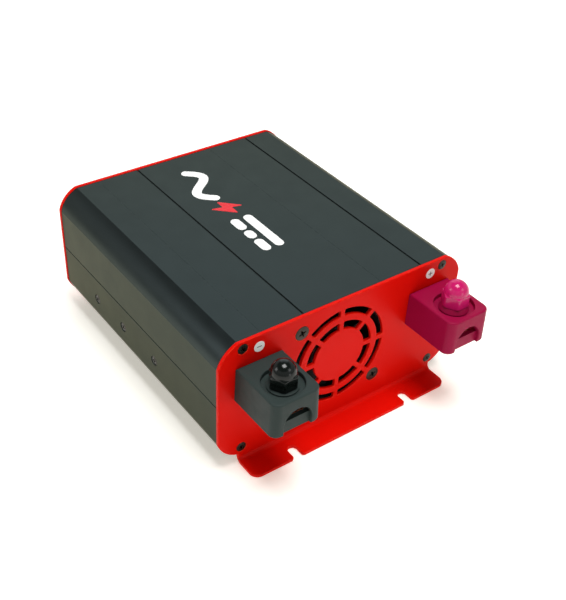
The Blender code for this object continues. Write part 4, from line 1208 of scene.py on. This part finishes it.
def add_cap_nut(pole, look):
    """Insulated domed nut: a soft-edged hexagon under a round dome, hollow for its sleeve."""
    name = f"cap_nut_{pole}"
    low, high = span(name)
    room, ceiling = INSERT_RADIUS + GAP, high.z - NUT_SKIN
    profile = [(0, ceiling), (room, ceiling), (room, low.z + 0.3), (room + 0.3, low.z)]
    rings = [ring(r, z, 96) for r, z in profile]
    for step in range(NUT_STEPS + 1):
        height = NUT_HEX_HEIGHT * step / NUT_STEPS
        rings.append(shaped_ring(lambda angle: nut_radius(angle, height), low.z + height, 96))
    dome = arc((0, high.z - NUT_DOME_RADIUS), NUT_DOME_RADIUS, 0, 90, 20)
    rings += [ring(r, z, 96) for r, z in dome]
    add_round_piece(name, pole, loft(rings), look)


def add_terminal(pole, cover_look, nut_look):
    add_terminal_cover(pole, cover_look)
    add_bus_bar(pole)
    add_stud(pole)
    add_washer(pole, cover_look)
    add_insert(pole)
    add_cap_nut(pole, nut_look)


# ---- prints

def stroke(points, width):
    """Outline of a thick line through points, with round ends."""
    line = [Vector(point) for point in points]
    left, right = [], []
    for i, here in enumerate(line):
        ahead = line[min(i + 1, len(line) - 1)] - line[max(i - 1, 0)]
        across = Vector((-ahead.y, ahead.x)).normalized() * width / 2
        left.append(tuple(here + across))
        right.append(tuple(here - across))
    ends = []
    for here, toward in ((line[-1], line[-1] - line[-2]), (line[0], line[0] - line[1])):
        heading = bearing(toward)
        ends.append(arc(here, width / 2, heading - 90, heading + 90, 10)[1:-1])
    return right + ends[0] + left[::-1] + ends[1]


def print_on_top(name, loops, look):
    """Ink on the top cover, drawn in its own (along, up) plane; it reads from the left side."""
    bm = bmesh.new()
    for loop in loops:
        prism([loop], -PRINT_SINK, PRINT_THICKNESS, axis="Z", bm=bm)
    reading = Matrix(((0, 1, 0), (-1, 0, 0), (0, 0, 1))).to_4x4()
    place = Matrix.Translation((PRINT_X, PRINT_Y, COVER_HIGH.z)) @ reading
    add_extra(name, bm, place, look)


def add_top_print():
    """Generic symbols for what the thing does: a wave, a spark, and a steady line over dashes."""
    weight, reach, end = PRINT_HEIGHT * 0.29, PRINT_LENGTH * 0.34, PRINT_LENGTH / 2
    first, swing, steps = -end + weight / 2, PRINT_HEIGHT * 0.34, 48
    wave = [(first + reach * (i / steps), swing * sin(tau * (i / steps))) for i in range(steps + 1)]
    start, rise = end - reach, PRINT_HEIGHT * 0.22
    lines = [stroke(wave, weight), stroke([(start, rise), (end - weight / 2, rise)], weight)]
    dash = (reach - weight / 2) / 3
    for number in range(3):
        first = start + number * dash + (weight * 0.65 if number else 0)
        last = start + (number + 1) * dash - (weight * 0.65 if number < 2 else 0)
        lines.append(stroke([(first, -rise), (last, -rise)], weight))
    print_on_top("top_print_symbols", lines, print_white)
    half = PRINT_HEIGHT / 2
    spark = [(0.3, 1.0), (-0.85, -0.2), (-0.15, -0.2), (-0.35, -1.0), (0.85, 0.26), (0.12, 0.26)]
    outline = fillet([(half * a, half * b) for a, b in spark], 0.5, 3)
    print_on_top("top_print_spark", [outline], print_red)


def add_polarity_label(pole):
    """Small round label on the front plate, with a plus or a minus."""
    place = on_front(middle(f"terminal_cover_{pole}")[0], PLATE_HIGH.z - LABEL_DROP)
    disc = prism([circle(LABEL_RADIUS, 40)], -LABEL_THICKNESS, 0.0, 0.05, steps=2)
    add_extra(f"polarity_label_{pole}", disc, place, print_white)
    half, thin = LABEL_RADIUS * 0.45, MARK_HALF_WIDTH
    outline = cross_outline(half, thin) if pole == "positive" else rectangle(-half, half, -thin, thin)
    mark = prism([outline], -LABEL_THICKNESS - 0.03, -LABEL_THICKNESS + 0.02)
    add_extra(f"polarity_mark_{pole}", mark, place, ink_dark)


# ---- fan

def blade(angle):
    """One twisted, cambered blade round the hub's axis (Z)."""
    stations, chords = 9, 10
    rings = []
    for station in range(stations):
        share = station / (stations - 1)
        radius = BLADE_ROOT + (BLADE_TIP - BLADE_ROOT) * share
        pitch = radians(BLADE_PITCH[0] + BLADE_PITCH[1] * share)
        half_chord = BLADE_HALF_CHORD[0] + BLADE_HALF_CHORD[1] * share
        section = []
        for side in (1, -1):
            for step in range(chords + 1):
                along = side * half_chord * (1 - 2 * step / chords)
                edge = 1 - (along / half_chord) ** 2
                off = side * BLADE_HALF_THICKNESS * (0.25 + 0.75 * sqrt(edge)) + BLADE_CAMBER * edge
                tangent = along * cos(pitch) - off * sin(pitch)
                height = along * sin(pitch) + off * cos(pitch) + BLADE_MIDDLE
                theta = angle + tangent / radius
                section.append((radius * cos(theta), radius * sin(theta), height))
        rings.append(section)
    return loft(rings)


def add_fan_rotor():
    """Hub cup with its blades."""
    matrix = facing((FAN_CENTRE.x, span("fan_frame")[0].y, FAN_CENTRE.z), FRONT)
    inner, ceiling = HUB_RADIUS - HUB_WALL, HUB_FRONT - 2.5
    shaft, shaft_end = SHAFT
    hub = rounded_path([(0, HUB_FRONT), (HUB_RADIUS, HUB_FRONT), (HUB_RADIUS, HUB_BACK), (inner, HUB_BACK),
                        (inner, ceiling), (shaft, ceiling), (shaft, shaft_end), (0, shaft_end)],
                       [0, 1.4, 0.3, 0.3, 0.3, 0, 0, 0])
    made = mesh_object("fan_rotor_fine", turned(hub, 64), matrix)
    for number in range(BLADE_COUNT):
        join(made, blade(tau * number / BLADE_COUNT), matrix)
    fine("fan_rotor", made, fan_black)


# ---- rear panel

def rear_frame(node):
    """A rear panel piece's matrix, its own +Z backwards from the plate, and its size.

    The size is its width, its height, and where its back and its face lie along +Z.
    """
    low, high = span(node)
    x, _, z = middle(node)
    return facing((x, REAR_Y, z), BACK), high.x - low.x, high.z - low.z, low.y - REAR_Y, high.y - REAR_Y


def shape_socket_side(made, matrix, side, floor, proud):
    """Guide rib, clip pocket and contact hole on one side of the socket's recess."""
    near, far, half = RIB
    rib = fillet(rectangle(*sorted((side * near, side * far)), -half, half), 0.5, 3)
    join(made, prism([rib], floor - 0.5, proud - 3.0, 0.4, "Z"), matrix)
    near, far, half = CLIP_POCKET
    pocket = rectangle(-half, half, *sorted((side * near, side * far)))
    cut(made, prism([pocket], floor + 0.6, proud - 1.6, axis="Z"), matrix)
    radius, depth = CONTACT_HOLE
    hole = circle(radius, 32, (side * CONTACT_SPACING / 2, 0))
    cut(made, flared_cutter(hole, floor, floor - depth, 0.6, "Z"), matrix)


def add_socket():
    """Mains socket: a soft square face and a deep round recess, with its clips and contacts."""
    matrix, size, _, _, proud = rear_frame("ac_socket")
    floor = proud - SOCKET_RECESS_DEPTH
    face = prism([rounded_rectangle(size, size, 5.0, 8)], GAP, proud, SOCKET_EDGE, "Z", 4)
    made = mesh_object("ac_socket_housing", face, matrix)
    join(made, plug(SOCKET_RECESS_RADIUS + SOCKET_WALL, -SOCKET_BODY_DEPTH, 1, 64), matrix)
    cut(made, flared_cutter(circle(SOCKET_RECESS_RADIUS, 96), proud, floor, SOCKET_EDGE, "Z"), matrix)
    for side in (-1, 1):
        shape_socket_side(made, matrix, side, floor, proud)
    fine("ac_socket", made, socket_black)
    for level, side in (("upper", 1), ("lower", -1)):
        add_earth_clip(level, side, matrix, floor)
    for name, side in (("left", -1), ("right", 1)):
        add_contact(name, side, matrix, floor)
    add_socket_screw(matrix, floor)


def add_earth_clip(level, side, matrix, floor):
    """Sprung strip that touches the side of a plug."""
    path = rounded_path([(y, floor + height) for y, height in CLIP_PATH], 1.5, 5)
    line = stroke([(side * y, z) for y, z in path], CLIP_THICKNESS)
    strip = prism([line], -CLIP_HALF_WIDTH, CLIP_HALF_WIDTH, 0.12, "X")
    add_extra(f"earth_clip_{level}", strip, matrix, steel)


def add_contact(name, side, matrix, floor):
    """Brass sleeve inside a contact hole."""
    profile = fillet(rectangle(*CONTACT_TUBE, floor - 5.6, floor - 1.2), 0.1, 2)
    spot = matrix @ Matrix.Translation((side * CONTACT_SPACING / 2, 0, 0))
    add_extra(f"socket_contact_{name}", turned(profile, 32), spot, brass)


def add_socket_screw(matrix, floor):
    """Fixing screw in the middle of the recess floor."""
    head = rounded_path([(0, floor - 0.3), (3.0, floor - 0.3), (3.0, floor + 1.0), (0, floor + 1.9)],
                        [0, 0.1, 0.3, 0])
    made = mesh_object("socket_screw", turned(head, 40), matrix)
    cutter = cross_cutter((0.9, 0.2, floor + 0.4), (1.7, 0.4, floor + 2.0))
    cut(made, cutter, matrix @ rotation(CROSS_ANGLE))
    dress(made, steel, "case")


def add_switch_body():
    """Bezel with a well for the rocker."""
    matrix, width, height, back, proud = rear_frame("switch_body")
    bezel = prism([rounded_rectangle(width, height, 1.5)], GAP, proud, 0.5, "Z")
    made = mesh_object("switch_body_bezel", bezel, matrix)
    join(made, prism([rounded_rectangle(width - 2, height - 2, 0.4, 2)], back, 1.0, axis="Z"), matrix)
    rocker_low, rocker_high = span("switch_rocker")
    well = rounded_rectangle(rocker_high.x - rocker_low.x + 2 * GAP, ROCKER_LENGTH + 4 * GAP, 0.5, 3)
    cut(made, flared_cutter(well, proud, -SWITCH_WELL, 0.35, "Z"), matrix)
    fine("switch_body", made, socket_black)


def add_rocker():
    """Paddle with two sloping faces, its lower, off end pressed in, and a mark on each face."""
    low, high = span("switch_rocker")
    half, reach = (high.x - low.x) / 2, ROCKER_LENGTH / 2
    matrix = rear_frame("switch_body")[0] @ rotation(ROCKER_TILT, "X")
    under = arc((0, 0), reach, 200, 340, 20)
    crest = reach * CREST_SHARE
    outline = under + [(crest, ROCKER_CREST), (0, ROCKER_VALLEY), (-crest, ROCKER_CREST)]
    soft = fillet(outline, [0] * len(under) + [0.7, 6.0, 0.7], 6)
    made = mesh_object("switch_rocker_paddle", prism([soft], -half, half, 0.4, "X"), matrix)
    fine("switch_rocker", made, socket_black)
    slope = atan2(ROCKER_CREST - ROCKER_VALLEY, crest)
    line, zero = [rounded_rectangle(0.9, 3.4, 0.2, 2)], [circle(1.75, 32), circle(1.1, 32)]
    for name, side, loops in (("on", 1, line), ("off", -1, zero)):
        spot = Matrix.Translation((0, side * reach * 0.46, (ROCKER_CREST + ROCKER_VALLEY) / 2))
        place = matrix @ spot @ Matrix.Rotation(side * slope, 4, "X")
        mark = prism(loops, -0.03, 0.05, axis="Z")
        add_extra(f"switch_mark_{name}", mark, place, print_white, body_of("switch_rocker"))


def add_status_light():
    """Green lens in a bright ring."""
    matrix, width, _, back, proud = rear_frame("status_light")
    rim = width / 2
    lens_radius = rim - 0.75
    lens = [(0, back), (2.3, back), (2.3, 0.4), (lens_radius, 0.4)]
    for turn in range(0, 90, 9):
        angle = radians(turn)
        lens.append((lens_radius * cos(angle), 1.0 + (proud - 1.0) * sin(angle)))
    made = mesh_object("status_light_lens", turned(lens + [(0, proud)]), matrix)
    fine("status_light", made, light_green)
    bezel = fillet([(lens_radius, 0.03), (rim, 0.03), (rim, 1.1), (lens_radius, 1.5)], 0.25)
    add_extra("status_light_ring", turned(bezel), matrix, steel)


def add_port():
    """Six-contact modular jack with a latch notch."""
    matrix, width, height, back, proud = rear_frame("remote_port")
    body = prism([rounded_rectangle(width, height, 0.6, 3)], back, proud, 0.3, "Z")
    made = mesh_object("remote_port_shell", body, matrix)
    half, rise, latch = PORT_OPENING[0] / 2, PORT_OPENING[1] / 2, PORT_LATCH[0] / 2
    notch = -rise - PORT_LATCH[1] + GAP
    outline = [(-half, -rise), (-latch, -rise), (-latch, notch), (latch, notch)]
    outline += [(latch, -rise), (half, -rise), (half, rise), (-half, rise)]
    cut(made, flared_cutter(fillet(outline, 0.25, 2), proud, -PORT_OPENING[2], 0.2, "Z"), matrix)
    fine("remote_port", made, socket_black)
    path = rounded_path([(rise - 0.1, -0.8), (rise - 0.5, -1.4), (-0.8, -8.5), (-0.6, -10.5)], 0.6, 5)
    for number in range(6):
        x = (number - 2.5) * PIN_SPACING
        pin = prism([stroke(path, PIN_THICKNESS)], x - PIN_HALF_WIDTH, x + PIN_HALF_WIDTH, 0.05, "X")
        add_extra(f"remote_port_pin_{number + 1}", pin, matrix, brass)


# ---- carried-over nodes

def carry_nodes():
    """Gives the CAD nodes that stay in view the materials of their slots in the record."""
    inner = (fan_black, board_green, ferrite, winding_yellow, capacitor_sleeve, fuse_yellow, package_black,
             aluminium)
    looks = {look.__name__: look for look in inner}
    for part in frame["record"]["subparts"]:
        made = frame["nodes"][part["node"]]
        if not made.hide_render:
            made.data.materials.clear()
            made.data.materials.append(material(looks[part["material_slot"]]))


# ---- studio

def add_floor():
    """Wide pale floor just under the feet."""
    bm = bmesh.new()
    bmesh.ops.create_grid(bm, x_segments=2, y_segments=2, size=FLOOR_HALF)
    made = mesh_object("floor", bm, Matrix.Translation((0, 0, -0.05)))
    made.data.materials.append(material(floor_pale))


def add_light(name, place, size, power, tint=(1, 1, 1)):
    """A square soft light that looks at the middle of the object."""
    lamp = bpy.data.lights.new(name, "AREA")
    lamp.size = size * MM
    lamp.energy = power
    lamp.color = tint
    made = add_object(name, lamp)
    made.location = Vector(place) * MM
    made.rotation_mode = "QUATERNION"
    made.rotation_quaternion = (TARGET - Vector(place)).to_track_quat("-Z", "Y")


def add_sky():
    """Room light that is bright round the horizon and dim above the walls."""
    world = bpy.data.worlds.new("studio")
    bpy.context.scene.world = world
    world.use_nodes = True
    tree = world.node_tree
    place = add_node(tree, "ShaderNodeTexCoord", {})
    height = add_node(tree, "ShaderNodeSeparateXYZ", {0: place.outputs["Generated"]})
    ramp = add_node(tree, "ShaderNodeValToRGB", {"Fac": height.outputs["Z"]})
    ramp.color_ramp.interpolation = "EASE"
    stops = ramp.color_ramp.elements
    stops[0].position, stops[1].position = SKY[0][0], SKY[-1][0]
    for position, _ in SKY[1:-1]:
        stops.new(position)
    for stop, (position, level) in zip(stops, SKY):
        stop.position = position
        stop.color = (level, level, level, 1.0)
    tree.links.new(ramp.outputs["Color"], tree.nodes["Background"].inputs["Color"])


def add_studio():
    add_floor()
    add_sky()
    add_light("left", (-990, 400, 600), 420, 1.8)
    add_light("front", (440, -920, 760), 420, 1.3)
    add_light("fill", (250, -1150, 130), 250, 0.5)
    add_light("top", (0, -160, 1300), 600, 15)
    add_light("back", (730, 930, 950), 1100, 3, (0.88, 1.0, 1.06))
    bpy.context.scene.view_settings.view_transform = "Standard"


def add_camera():
    """The camera of the photograph, aimed at TARGET and rolled about its line of sight."""
    azimuth, elevation = radians(AZIMUTH), radians(ELEVATION)
    level = cos(elevation)
    back = Vector((sin(azimuth) * level, -cos(azimuth) * level, sin(elevation)))
    lens = bpy.data.cameras.new("camera")
    lens.lens = LENS
    made = add_object("camera", lens)
    made.location = (TARGET + back * DISTANCE) * MM
    made.rotation_mode = "QUATERNION"
    upright = (-back).to_track_quat("-Z", "Y")
    made.rotation_quaternion = upright @ Quaternion((0, 0, 1), radians(ROLL))
    bpy.context.scene.camera = made


def main():
    add_top_cover()
    add_base_tray()
    add_front_plate()
    add_rear_plate()
    add_screws()
    add_fan_rotor()
    add_terminal("negative", terminal_black, nut_black)
    add_terminal("positive", terminal_magenta, nut_magenta)
    add_socket()
    add_switch_body()
    add_rocker()
    add_status_light()
    add_port()
    add_top_print()
    add_polarity_label("negative")
    add_polarity_label("positive")
    carry_nodes()
    add_studio()
    add_camera()


main()
